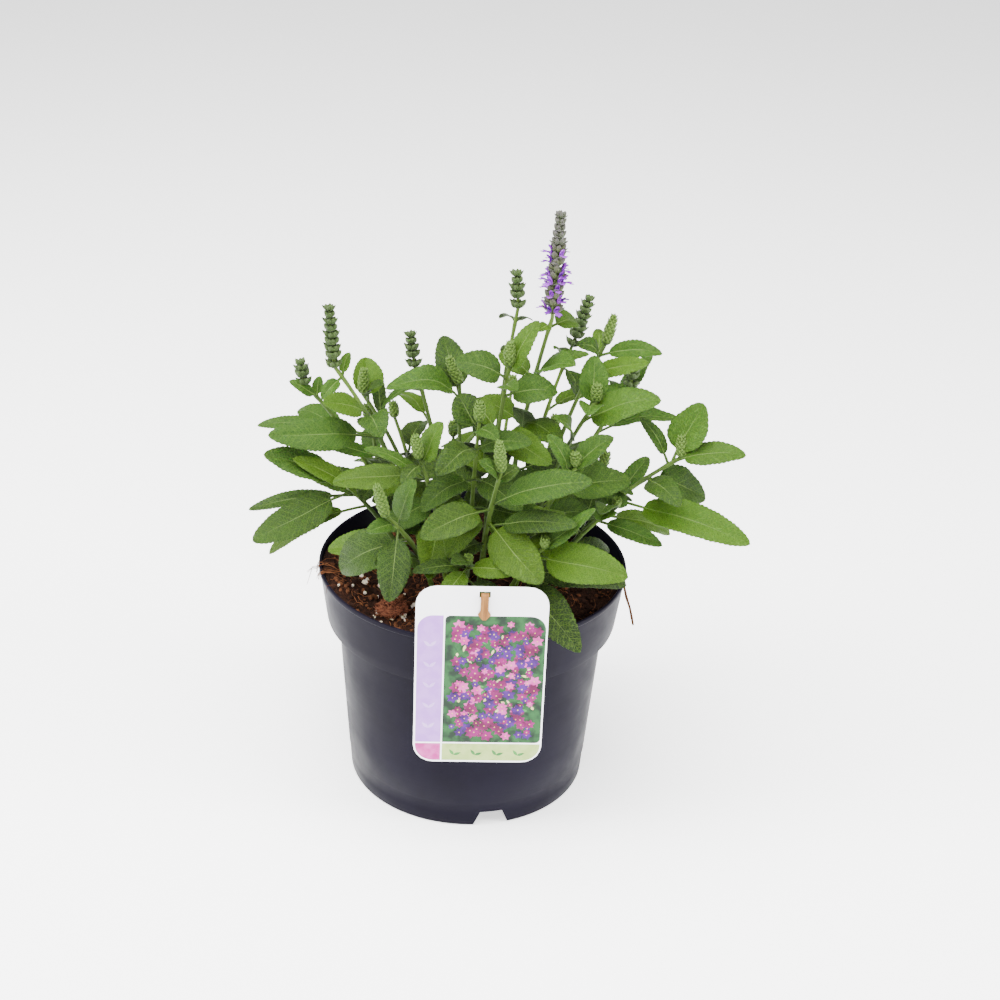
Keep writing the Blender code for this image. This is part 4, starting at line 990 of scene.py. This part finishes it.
def make_flower():
    """The open spike: flowers in the lower whorls, closed buds in the upper ones."""
    violet = Paint("petal_violet", roughness=0.6, specular=0.12, subsurface=0.1)
    streak = violet.noise(900.0, 2.0)
    base = violet.mix(violet.remap(violet.attribute("tone"), 0.0, 1.0), "#4a0873", "#8030a4")
    violet.bump(streak, 0.3, 0.0002)
    finishes = [
        violet.out(violet.mix(violet.scaled(violet.remap(streak, 0.45, 0.75), 0.35), base, "#340963")),
        stem_paint("calyx_green", "#44541f", "#2b3316", "#40353f"),
        stem_paint("spike_stem", "#596e34", "#445528", "#758956"),
        stem_paint("spike_buds", "#394626", "#29311d", "#4b4548"),
    ]
    skin = Skin()
    draw = random.Random(SEED + 31)
    foot, tip, axis, side, other = head_axes(Vector(FLOWER_FOOT) + Vector((0.0, 0.0, GAP)), FLOWER_TIP)
    length = np.linalg.norm(tip - foot)
    centres = [foot + axis * length * share for share in np.linspace(0.0, 0.97, 12)]
    tube(skin, centres, np.linspace(STEM_TOP, 0.5, 12) * 0.84, STEM, 0.1, 12, 0.12)
    for ring in range(FLOWER_WHORLS):
        share = ring / (FLOWER_WHORLS - 1.0)
        place = foot + axis * (4.0 + (length - 8.5) * share)
        first = 0.66 * ring + draw.uniform(-0.3, 0.3)
        size = 1.34 * (1.0 - 0.42 * share ** 2.2)
        for out in spokes(side, other, 6, first, draw, 0.2):
            aim = unit(out * 0.85 + axis * draw.uniform(0.3, 0.8))
            if ring < OPEN_RINGS and draw.random() < OPEN_SHARE - 0.25 * share:
                floret(skin, place + out * 0.6, aim, axis, draw.uniform(0.85, 1.15), draw.random())
            else:
                aim = unit(out * (0.85 - 0.3 * share) + axis * 0.8)
                slot = CALYX if ring < OPEN_RINGS + 1 else BUDS
                spindle(skin, place + out * 0.6, aim, 5.6 * size, 3.1 * size, slot, 0.1, 0.8, top=0.15)
        for out in spokes(side, other, 2, first):
            aim = unit(out + axis * 0.6)
            bract(skin, place - axis * 0.8, aim, axis, 6.0 * size, 5.0 * size, BUDS, 0.2, 0.8)
    spindle(skin, tip - axis * 4.0, axis, 4.0, 2.6, BUDS, 0.6, ribs=0.1)
    piece = skin.object("fine_flower_spike", finishes)
    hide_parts("flower_spike")


def between(low, high, shares):
    """Points on the straight line between two points of the pot's section."""
    return [(low[0] + (high[0] - low[0]) * share, low[1] + (high[1] - low[1]) * share) for share in shares]


def pot_profile():
    """The pot's section, from the middle of its floor inside to the same place below."""
    bead_z = POT_HEIGHT - BEAD_HEIGHT
    collar_top = RIM_RADIUS - BEAD_DEPTH
    floor_top = FLOOR_Z + WALL
    ledge = COLLAR_Z + WALL
    return [
        (0.0, floor_top), (inner_radius(floor_top) - 2.0, floor_top),
        (inner_radius(floor_top), floor_top + 2.0), (inner_radius(COLLAR_Z), COLLAR_Z - 1.0),
        (inner_radius(COLLAR_Z) + 0.8, ledge),
        (inner_radius(ledge + 0.01), ledge), (inner_radius(POT_HEIGHT) + 0.3, POT_HEIGHT - 0.7),
        (inner_radius(POT_HEIGHT) + 0.7, POT_HEIGHT - 0.15), (RIM_RADIUS - 0.9, POT_HEIGHT),
        (RIM_RADIUS - 0.3, POT_HEIGHT - 0.25), (RIM_RADIUS, POT_HEIGHT - 0.8), (RIM_RADIUS, bead_z + 0.5),
        (RIM_RADIUS - 0.25, bead_z + 0.12), (collar_top - 0.05, bead_z - 0.1),
        (collar_top - 0.15, bead_z - 0.6),
        *between((COLLAR_RADIUS, COLLAR_Z), (collar_top, bead_z), (0.75, 0.5, 0.25)),
        (COLLAR_RADIUS + 0.1, COLLAR_Z + 1.2), (COLLAR_RADIUS - 0.15, COLLAR_Z + 0.35),
        (COLLAR_RADIUS - 0.9, COLLAR_Z), (BODY_RADIUS + 0.9, COLLAR_Z), (BODY_RADIUS + 0.15, COLLAR_Z - 0.4),
        *between((STEP_RADIUS, STEP_Z), (BODY_RADIUS, COLLAR_Z), (0.95, 0.75, 0.5, 0.25)),
        (STEP_RADIUS, STEP_Z), (STEP_RADIUS - STEP_DEPTH, STEP_Z - 0.7), (BASE_RADIUS + 0.5, 8.0),
        (BASE_RADIUS, 0.9), (BASE_RADIUS - 0.3, 0.2), (BASE_RADIUS - 0.8, 0.0),
        (BASE_RADIUS - WALL - 0.6, 0.0), (BASE_RADIUS - WALL - 0.3, FLOOR_Z), (0.0, FLOOR_Z),
    ]


def make_pot():
    """The pot, turned from its section, with three notches cut in its stand ring."""
    shape = bmesh.new()
    points = [shape.verts.new((radius * MM, 0.0, z * MM)) for radius, z in pot_profile()]
    for first, second in zip(points, points[1:]):
        shape.edges.new((first, second))
    bmesh.ops.spin(shape, geom=shape.verts[:] + shape.edges[:], cent=(0, 0, 0), axis=(0, 0, 1),
                   angle=2.0 * math.pi, steps=POT_SECTORS, use_merge=True)
    bmesh.ops.remove_doubles(shape, verts=shape.verts, dist=1e-6)
    bmesh.ops.recalc_face_normals(shape, faces=shape.faces)
    pot = mesh_object("fine_pot", shape)
    pot.location = (AXIS[0] * MM, AXIS[1] * MM, 0.0)
    cutters = [notch_cutter(angle) for angle in NOTCH_ANGLES]
    for cutter in cutters:
        cut = pot.modifiers.new("notch", "BOOLEAN")
        cut.operation = "DIFFERENCE"
        cut.object = cutter
        cut.solver = "MANIFOLD"
    bpy.context.view_layer.update()
    final = bpy.data.meshes.new_from_object(pot.evaluated_get(bpy.context.evaluated_depsgraph_get()))
    pot.modifiers.clear()
    pot.data = final
    for cutter in cutters:
        bpy.data.objects.remove(cutter)
    final.polygons.foreach_set("use_smooth", [True] * len(final.polygons))
    final.set_sharp_from_angle(angle=math.radians(POT_CREASE))
    final.materials.clear()
    final.materials.append(pot_paint())
    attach(pot, "root")
    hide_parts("pot")


def pot_paint():
    """Dark satin plastic with faint rings and pale grey-violet flecks that are partly dust and partly a
    painted sheen.
    """
    plastic = Paint("pot_anthracite", roughness=0.4, specular=0.03)
    base = plastic.mix(plastic.remap(plastic.noise(9.0, 4.0, 0.6), 0.3, 0.7), "#0e0c14", "#14121c")
    # Pale grey-violet flecks from noise: partly dust, partly a painted sheen on the plastic.
    dust_and_sheen = plastic.remap(plastic.noise(260.0, 4.0, 0.7), 0.64, 0.8, 0.0, 0.04)
    base = plastic.mix(dust_and_sheen, base, "#4c4850")
    rings = plastic.noise(6.0, 2.0, stretch=(1.0, 1.0, 45.0))
    grain = plastic.scaled(plastic.noise(1500.0, 2.0), 0.25)
    plastic.bump(plastic.scaled(rings, 0.8, grain), 0.12, 0.0006)
    return plastic.out(base, plastic.remap(plastic.noise(40.0), 0.3, 0.7, 0.33, 0.46))


def notch_cutter(angle):
    """A wedge that cuts one notch."""
    shape = bmesh.new()
    bmesh.ops.create_cube(shape, size=1.0)
    for vert in shape.verts:
        top = vert.co.z > 0
        vert.co.x = math.copysign(NOTCH_TOP_HALF if top else NOTCH_FOOT_HALF, vert.co.x)
        vert.co.y = -BASE_RADIUS + 8.0 * vert.co.y
        vert.co.z = NOTCH_HEIGHT if top else -2.0
    turn = Matrix.Rotation(math.radians(angle), 3, "Z")
    bmesh.ops.rotate(shape, verts=shape.verts, cent=(0, 0, 0), matrix=turn)
    bmesh.ops.translate(shape, verts=shape.verts, vec=AXIS)
    bmesh.ops.scale(shape, verts=shape.verts, vec=(MM, MM, MM))
    return mesh_object("notch", shape)


def soil_paint(name, dark, light, size):
    """Damp compost: lumps of two browns with lighter specks."""
    paint = Paint(name, roughness=0.95, specular=0.08)
    base = paint.mix(paint.remap(paint.noise(size, 5.0, 0.65), 0.3, 0.72), dark, light)
    specks = paint.cells(size * 2.2, paint.coords)
    base = paint.mix(paint.remap(specks, 0.0, 0.3, 0.4, 0.0), base, "#6a462f")
    paint.bump(paint.noise(size * 4.0, 4.0, 0.7), 0.8, 0.0012)
    return paint.out(base)


def heap_share(x, y):
    """How much a place takes part in the heap at the left: 1 in the middle of it, 0 far off."""
    away = math.degrees(math.atan2(-y, -x)) - HEAP_TURN
    return math.exp(-(away / HEAP_SPREAD) ** 2)


def fine_soil_height(x, y):
    """The soil's height with its small crumbs and the heap, which rises to the rim."""
    rough = noise.fractal(Vector((x * 0.21, y * 0.21, 2.2)), 0.8, 2.1, 4)
    heap = HEAP_RISE * heap_share(x, y) * min(1.0, max(0.0, math.hypot(x, y) / 32.0 - 1.7))
    return soil_height(x, y) + 1.1 * rough + heap


def ball(subdivisions):
    """The corners and faces of a ball of radius 1."""
    shape = bmesh.new()
    bmesh.ops.create_icosphere(shape, subdivisions=subdivisions, radius=1.0)
    points = [np.array(vert.co) for vert in shape.verts]
    faces = np.array([[vert.index for vert in face.verts] for face in shape.faces])
    shape.free()
    return points, faces


# The ball that crumbs and grains are bent from.
LUMP_POINTS, LUMP_FACES = ball(1)


def lump(skin, x, y, size, sink, slot, draw):
    """An irregular crumb on the soil: a small rock-like body, turned at random."""
    place = np.array((x, y, fine_soil_height(x, y) + size * sink))
    tone = draw.random()
    angle = [draw.uniform(0, 6.28) for _ in range(3)]
    turn = np.array(Matrix.Rotation(angle[0], 3, "X") @ Matrix.Rotation(angle[1], 3, "Y"))
    stretch = np.array([draw.uniform(0.65, 1.25) for _ in range(3)]) * size
    points = np.array([point * stretch * draw.uniform(0.78, 1.15) for point in LUMP_POINTS])
    skin.add(points @ turn.T + place, LUMP_FACES, slot, tone)


def scatter(draw, reach):
    """A random place on the soil within a reach of the pot's axis."""
    radius = reach * math.sqrt(draw.random())
    turn = draw.uniform(0, 6.28)
    return radius * math.cos(turn), radius * math.sin(turn)


def fibre(skin, place, reach, width, tone, draw, lift):
    """A curled root hair or coir fibre that lies on the soil."""
    heading = draw.uniform(0, 6.28)
    bend = draw.uniform(-2.2, 2.2) / FIBRE_STEPS
    spot = np.array(place)
    centres = []
    for step in range(FIBRE_STEPS):
        centres.append(spot.copy())
        heading += bend + draw.uniform(-0.25, 0.25)
        spot = spot + np.array((math.cos(heading), math.sin(heading), 0.0)) * reach / FIBRE_STEPS
        away = math.hypot(spot[0], spot[1])
        if away > SOIL_REACH:
            spot[:2] *= SOIL_REACH / away
        spot[2] = fine_soil_height(spot[0], spot[1]) + 0.35 + lift * abs(math.sin(step * 1.1 + place[0]))
    radii = [width * (1.0 - 0.6 * step / FIBRE_STEPS) for step in range(FIBRE_STEPS)]
    tube(skin, centres, radii, 0, tone, 4)


def make_soil():
    """The heaped surface with its crumbs, down to the depth where nothing shows."""
    points = [(0.0, 0.0, fine_soil_height(0.0, 0.0))]
    angles = np.linspace(0.0, 2.0 * np.pi, SOIL_SECTORS, endpoint=False)
    for ring in range(1, SOIL_RINGS + 1):
        radius = SOIL_REACH * (ring / SOIL_RINGS) ** 0.9
        for angle in angles:
            x, y = radius * math.cos(angle), radius * math.sin(angle)
            swell = 1.0 + HEAP_REACH * heap_share(x, y) * (ring / SOIL_RINGS) ** 4
            points.append((x * swell, y * swell, fine_soil_height(x, y)))
    depth = SOIL_EDGE_Z - SOIL_DEPTH
    points.extend((SOIL_REACH * math.cos(angle), SOIL_REACH * math.sin(angle), depth) for angle in angles)
    points.append((0.0, 0.0, depth))
    end = len(points) - 1
    slope = np.roll(grid_faces(SOIL_RINGS + 1, SOIL_SECTORS, closed=True, flip=True), 1, axis=1) + 1
    faces = [*fan(0, 1, SOIL_SECTORS, flip=True), *slope, *fan(end, end - SOIL_SECTORS, SOIL_SECTORS)]
    skin = Skin()
    skin.add(np.array(points), faces, 0)
    draw = random.Random(SEED + 41)
    for index in range(CRUMBS):
        x, y = scatter(draw, SOIL_REACH * 0.985)
        size = draw.uniform(0.5, 1.9) if draw.random() < 0.85 else draw.uniform(1.9, 3.0)
        # Bark crumbs are real, but most go left of WEST_X: painted light on the lit left of the soil.
        is_bark = draw.random() < (0.6 if x < WEST_X else 0.15)
        lump(skin, x, y, size, 0.25, int(is_bark), draw)
    dark = soil_paint("soil_dark", "#150c09", "#342017", 420.0)
    bark = soil_paint("soil_bark", "#382217", "#6d452d", 500.0)
    piece = skin.object("fine_soil", [dark, bark], smooth=False)
    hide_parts("soil")
    make_fibres(draw)
    make_perlite(draw)


def make_fibres(draw):
    """Fibres all over the soil, a rootlet over the rim at the right and dry strands over it at the left."""
    skin = Skin()
    for index in range(FIBRES):
        x, y = scatter(draw, SOIL_REACH * 0.96)
        # Fewer pale fibres right of WEST_X: real fibres, thinned there as painted shade on the right of the
        # soil.
        if x > WEST_X and draw.random() < 0.55:
            continue
        place = (x, y, fine_soil_height(x, y) + 0.6)
        reach, width = draw.uniform(7.0, 24.0), draw.uniform(0.1, 0.26)
        fibre(skin, place, reach, width, draw.random(), draw, draw.uniform(0.2, 1.8))
    root = [(80.0, -21.0, 143.5), (86.5, -22.5, 147.0), (90.5, -24.0, 147.2), (92.6, -24.9, 145.6),
            (94.5, -25.5, 139.0), (96.8, -26.0, 132.0), (98.6, -26.3, 125.0), (99.6, -26.5, 120.3)]
    wobble = [(x + draw.uniform(-0.25, 0.25), y, z) for x, y, z in root]
    tube(skin, wobble, [0.6, 0.8, 0.9, 0.75, 0.85, 0.7, 0.8, 0.6], 0, 0.15, 7)
    for index in range(RIM_STRANDS):
        turn = math.radians(draw.uniform(182.0, 206.0))
        out = np.array((math.cos(turn), math.sin(turn), 0.0))
        inner = out * draw.uniform(70.0, 84.0) + (0.0, draw.uniform(-9.0, 9.0), 0.0)
        inner[2] = fine_soil_height(inner[0], inner[1]) + 0.6
        near = out * 90.5 + (0.0, draw.uniform(-3.0, 3.0), 147.2)
        rim = out * 95.6 + (0.0, draw.uniform(-5.0, 5.0), 146.6 - draw.uniform(0.0, 0.6))
        end = rim + out * draw.uniform(0.2, 1.5) + (0.0, draw.uniform(-2.0, 2.0), -draw.uniform(1.0, 7.0))
        tube(skin, [inner, near, rim, end], [0.24, 0.22, 0.2, 0.12], 0, draw.uniform(0.2, 0.9), 4)
    for index in range(RIM_HAIRS):
        spread = draw.uniform(-1.0, 1.0)
        end = (-99.5 - 1.5 * draw.random(), -19.0 + 6.0 * spread, 146.0 - 11.0 * draw.random())
        centres = [(-93.0, -17.0 + 3.0 * spread, 147.0), (-97.5, -18.0 + 4.5 * spread, 146.8), end]
        tube(skin, centres, [0.2, 0.17, 0.12], 0, 0.3, 5)
    strand = Paint("fibre_brown", roughness=0.85, specular=0.1)
    strand.bump(strand.noise(1800.0, 2.0), 0.4, 0.0003)
    shade = strand.remap(strand.attribute("tone"), 0.0, 1.0)
    piece = skin.object("soil_fibres", [strand.out(strand.mix(shade, "#341c11", "#815234"))])


def make_perlite(draw):
    """White grains, most of them at the front left."""
    skin = Skin()
    for index in range(PERLITE):
        front = draw.random() < 0.6
        radius = SOIL_REACH * (0.55 + 0.43 * draw.random())
        turn = math.radians(draw.uniform(195.0, 262.0)) if front else draw.uniform(0, 6.28)
        lump(skin, radius * math.cos(turn), radius * math.sin(turn), draw.uniform(1.0, 2.4), 0.45, 0, draw)
    grain = Paint("perlite", roughness=0.9, specular=0.3, subsurface=0.1)
    patch = grain.noise(900.0)
    grain.bump(patch, 0.6, 0.0004)
    finish = grain.out(grain.mix(grain.remap(patch, 0.3, 0.7), "#a49682", "#e0d6c4"))
    piece = skin.object("perlite_grains", [finish], smooth=False)


def make_coir():
    """A tuft of coir: a matted core with curled fibres all round."""
    low, high = (np.array(corner) / MM - np.array(AXIS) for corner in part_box("coir_clump"))
    centre, half = (low + high) / 2.0, (high - low) / 2.0
    draw = random.Random(SEED + 51)
    skin = Skin()
    points, faces = ball(4)
    rough = [0.78 + 0.24 * noise.fractal(Vector(point) * 2.4, 0.8, 2.2, 5) for point in points]
    skin.add(np.array([point * half * size + centre for point, size in zip(points, rough)]), faces, 0)
    for index in range(COIR_FIBRES):
        heading = unit([draw.gauss(0, 1), draw.gauss(0, 1), abs(draw.gauss(0, 1)) - 0.1])
        axis = unit(np.cross(heading, [draw.gauss(0, 1), draw.gauss(0, 1), draw.gauss(0, 1)]))
        turn = draw.uniform(0.4, 1.5)
        stray = draw.uniform(0.0, 0.5) ** 2
        centres = []
        for step in range(8):
            part = turn * (step / 7.0 - 0.5)
            spot = heading * math.cos(part) + axis * math.sin(part)
            puff = 0.93 + 0.1 * math.sin(step * 1.7 + index) + stray * (step / 7.0) ** 2
            place = centre + spot * half * puff
            place[2] = max(place[2], low[2] + 0.4)
            centres.append(place)
        tube(skin, centres, [draw.uniform(0.16, 0.26)] * 8, 0, draw.random(), 4)
    paint = Paint("coir_red_brown", roughness=0.9, specular=0.08)
    shade = paint.scaled(paint.attribute("tone"), 0.6, paint.scaled(paint.noise(500.0), 0.5))
    paint.bump(paint.noise(1500.0, 4.0), 0.7, 0.0006)
    finish = paint.out(paint.mix(paint.remap(shade, 0.15, 0.9), "#280f09", "#81503a"))
    piece = skin.object("fine_coir_clump", [finish])
    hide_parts("coir_clump")


def tag_point(x, z, depth):
    """A place on the tag's front: x and z from its middle, depth in front of its middle surface."""
    yaw = math.radians(TAG_YAW)
    middle = np.array(TAG_CENTRE)
    along = np.array((math.cos(yaw), math.sin(yaw), 0.0))
    front = np.array((math.sin(yaw), -math.cos(yaw), 0.0))
    return middle + along * x + np.array((0.0, 0.0, z)) + front * depth


def flat_patch(skin, outline, slot, depth):
    """A printed shape on the card, as a thin closed layer."""
    count = len(outline)
    front = [tag_point(x, z, TAG_THICKNESS / 2.0 + depth) for x, z in outline]
    back = [tag_point(x, z, TAG_THICKNESS / 2.0 - 0.05) for x, z in outline]
    faces = [np.arange(count), np.arange(count, 2 * count)[::-1]]
    for index in range(count):
        after = (index + 1) % count
        faces.append(np.array((after, index, index + count, after + count)))
    skin.add(np.array(front + back), faces, slot)


def rounded(across, rise, corners, steps=7):
    """A rectangle's outline with its own radius at each corner: right top, left top, left low, right low."""
    (x0, x1), (z0, z1) = across, rise
    places = ((x1, z1, 1, 1, 0), (x0, z1, -1, 1, 90), (x0, z0, -1, -1, 180), (x1, z0, 1, -1, 270))
    outline = []
    for (x, z, right, up, first), radius in zip(places, corners):
        if radius <= 0.0:
            outline.append((x, z))
            continue
        for step in range(steps + 1):
            turn = math.radians(first + 90.0 * step / steps)
            outline.append((x + radius * (math.cos(turn) - right), z + radius * (math.sin(turn) - up)))
    return outline


def drop(x, z, length, width, turn, steps=10):
    """A petal or leaf outline that starts at a point and leans by turn."""
    outline = []
    for step in range(2 * steps):
        share = step / steps if step <= steps else 2.0 - step / steps
        half = width / 2.0 * math.sin(math.pi * share ** 0.8) * (1.0 if step <= steps else -1.0)
        along = length * share
        outline.append((x + along * math.sin(turn) + half * math.cos(turn),
                        z + along * math.cos(turn) - half * math.sin(turn)))
    return outline


def repaint(node, finish):
    """A new finish for a solid that shows as it is."""
    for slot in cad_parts[node].material_slots:
        slot.material = finish


def make_tag():
    """The card's finish and its print: a bed of round flowers, a lilac band and a green foot."""
    card = Paint("tag_white", roughness=0.35, specular=0.3)
    card.bump(card.noise(900.0, 2.0), 0.05, 0.0002)
    repaint("tag", card.out(card.mix(card.remap(card.noise(30.0), 0.3, 0.7), "#f0f0f4", "#f7f7fa")))
    skin = Skin()
    half_x, half_z = TAG_WIDTH / 2.0, TAG_HEIGHT / 2.0
    narrow, wide = (1.2 - half_x, 16.0 - half_x), (17.0 - half_x, half_x - 1.0)
    upper, lower = (14.0 - half_z, half_z - 19.0), (1.2 - half_z, 13.0 - half_z)
    for across, rise, corners, ink in (
            (narrow, upper, (0, 9, 0, 0), LILAC), (wide, upper, (9, 3, 0, 3), GARDEN),
            (narrow, lower, (0, 0, 10.5, 0), PINK), (wide, lower, (0, 0, 0, 10.5), PALE_GREEN)):
        flat_patch(skin, rounded(across, rise, corners), ink, 0.05)
    draw = random.Random(SEED + 61)
    x0, x1, z0, z1 = 21.6 - half_x, half_x - 5.6, 18.6 - half_z, half_z - 24.2
    for index in range(PRINT_LEAVES):
        x, z = draw.uniform(x0, x1), draw.uniform(z0, z1)
        lean = math.atan2(0.5 * (x0 + x1) - x, 0.5 * (z0 + z1) - z) + draw.uniform(-0.9, 0.9)
        outline = drop(x, z, draw.uniform(2.5, 5.0), draw.uniform(0.9, 1.9), lean)
        flat_patch(skin, outline, draw.choice((LEAF_INK, DARK_LEAF, CREAM)), 0.06 + 0.0004 * index)
    for index in range(PRINT_FLOWERS):
        x, z = draw.uniform(x0, x1), draw.uniform(z0, z1)
        size = draw.uniform(1.8, 4.2)
        ink = draw.choice((MAGENTA, VIOLET, PINK, MAGENTA, VIOLET, MAGENTA))
        first = draw.uniform(0, 6.28)
        level = 0.10 + 0.0009 * index
        for step in range(6):
            turn = first + math.tau * step / 6.0
            flat_patch(skin, drop(x, z, size, size * 0.62, turn, 6), ink, level + 0.0001 * step)
        eye = rounded((x - 0.4, x + 0.4), (z - 0.4, z + 0.4), (0.4,) * 4, 3)
        flat_patch(skin, eye, YELLOW, level + 0.0011)
    for side in (-1.0, 1.0):
        depth = 0.07 + 0.001 * side
        for step in range(4):
            x = 24.0 - half_x + step * 12.5
            flat_patch(skin, drop(x, 5.0 - half_z, 4.6, 1.8, side * 0.9 + 0.3), LEAF_INK, depth)
        for step in range(5):
            z = 24.0 - half_z + step * 14.0
            flat_patch(skin, drop(8.6 - half_x, z, 5.2, 1.9, side * 0.8), SOFT_LILAC, depth)
    inks = []
    for name, first, second in INKS:
        ink = Paint(name, roughness=0.36, specular=0.2)
        inks.append(ink.out(ink.mix(ink.remap(ink.noise(160.0, 2.0), 0.35, 0.65), first, second)))
    piece = skin.object("tag_print", inks, smooth=False)


def make_tie():
    """The tan strip keeps its solid; it gets a fibrous, slightly worn finish."""
    tan = Paint("tie_tan", roughness=0.6, specular=0.15)
    grain = tan.noise(240.0, 4.0, 0.6, stretch=(3.0, 1.0, 0.25))
    tan.bump(grain, 0.3, 0.0004)
    repaint("tag_tie", tan.out(tan.mix(tan.remap(grain, 0.3, 0.7), "#6a4420", "#8c6132")))


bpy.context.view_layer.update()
make_camera()
make_studio()
make_pot()
make_soil()
make_coir()
make_tag()
make_tie()
make_shoots()
make_flower()
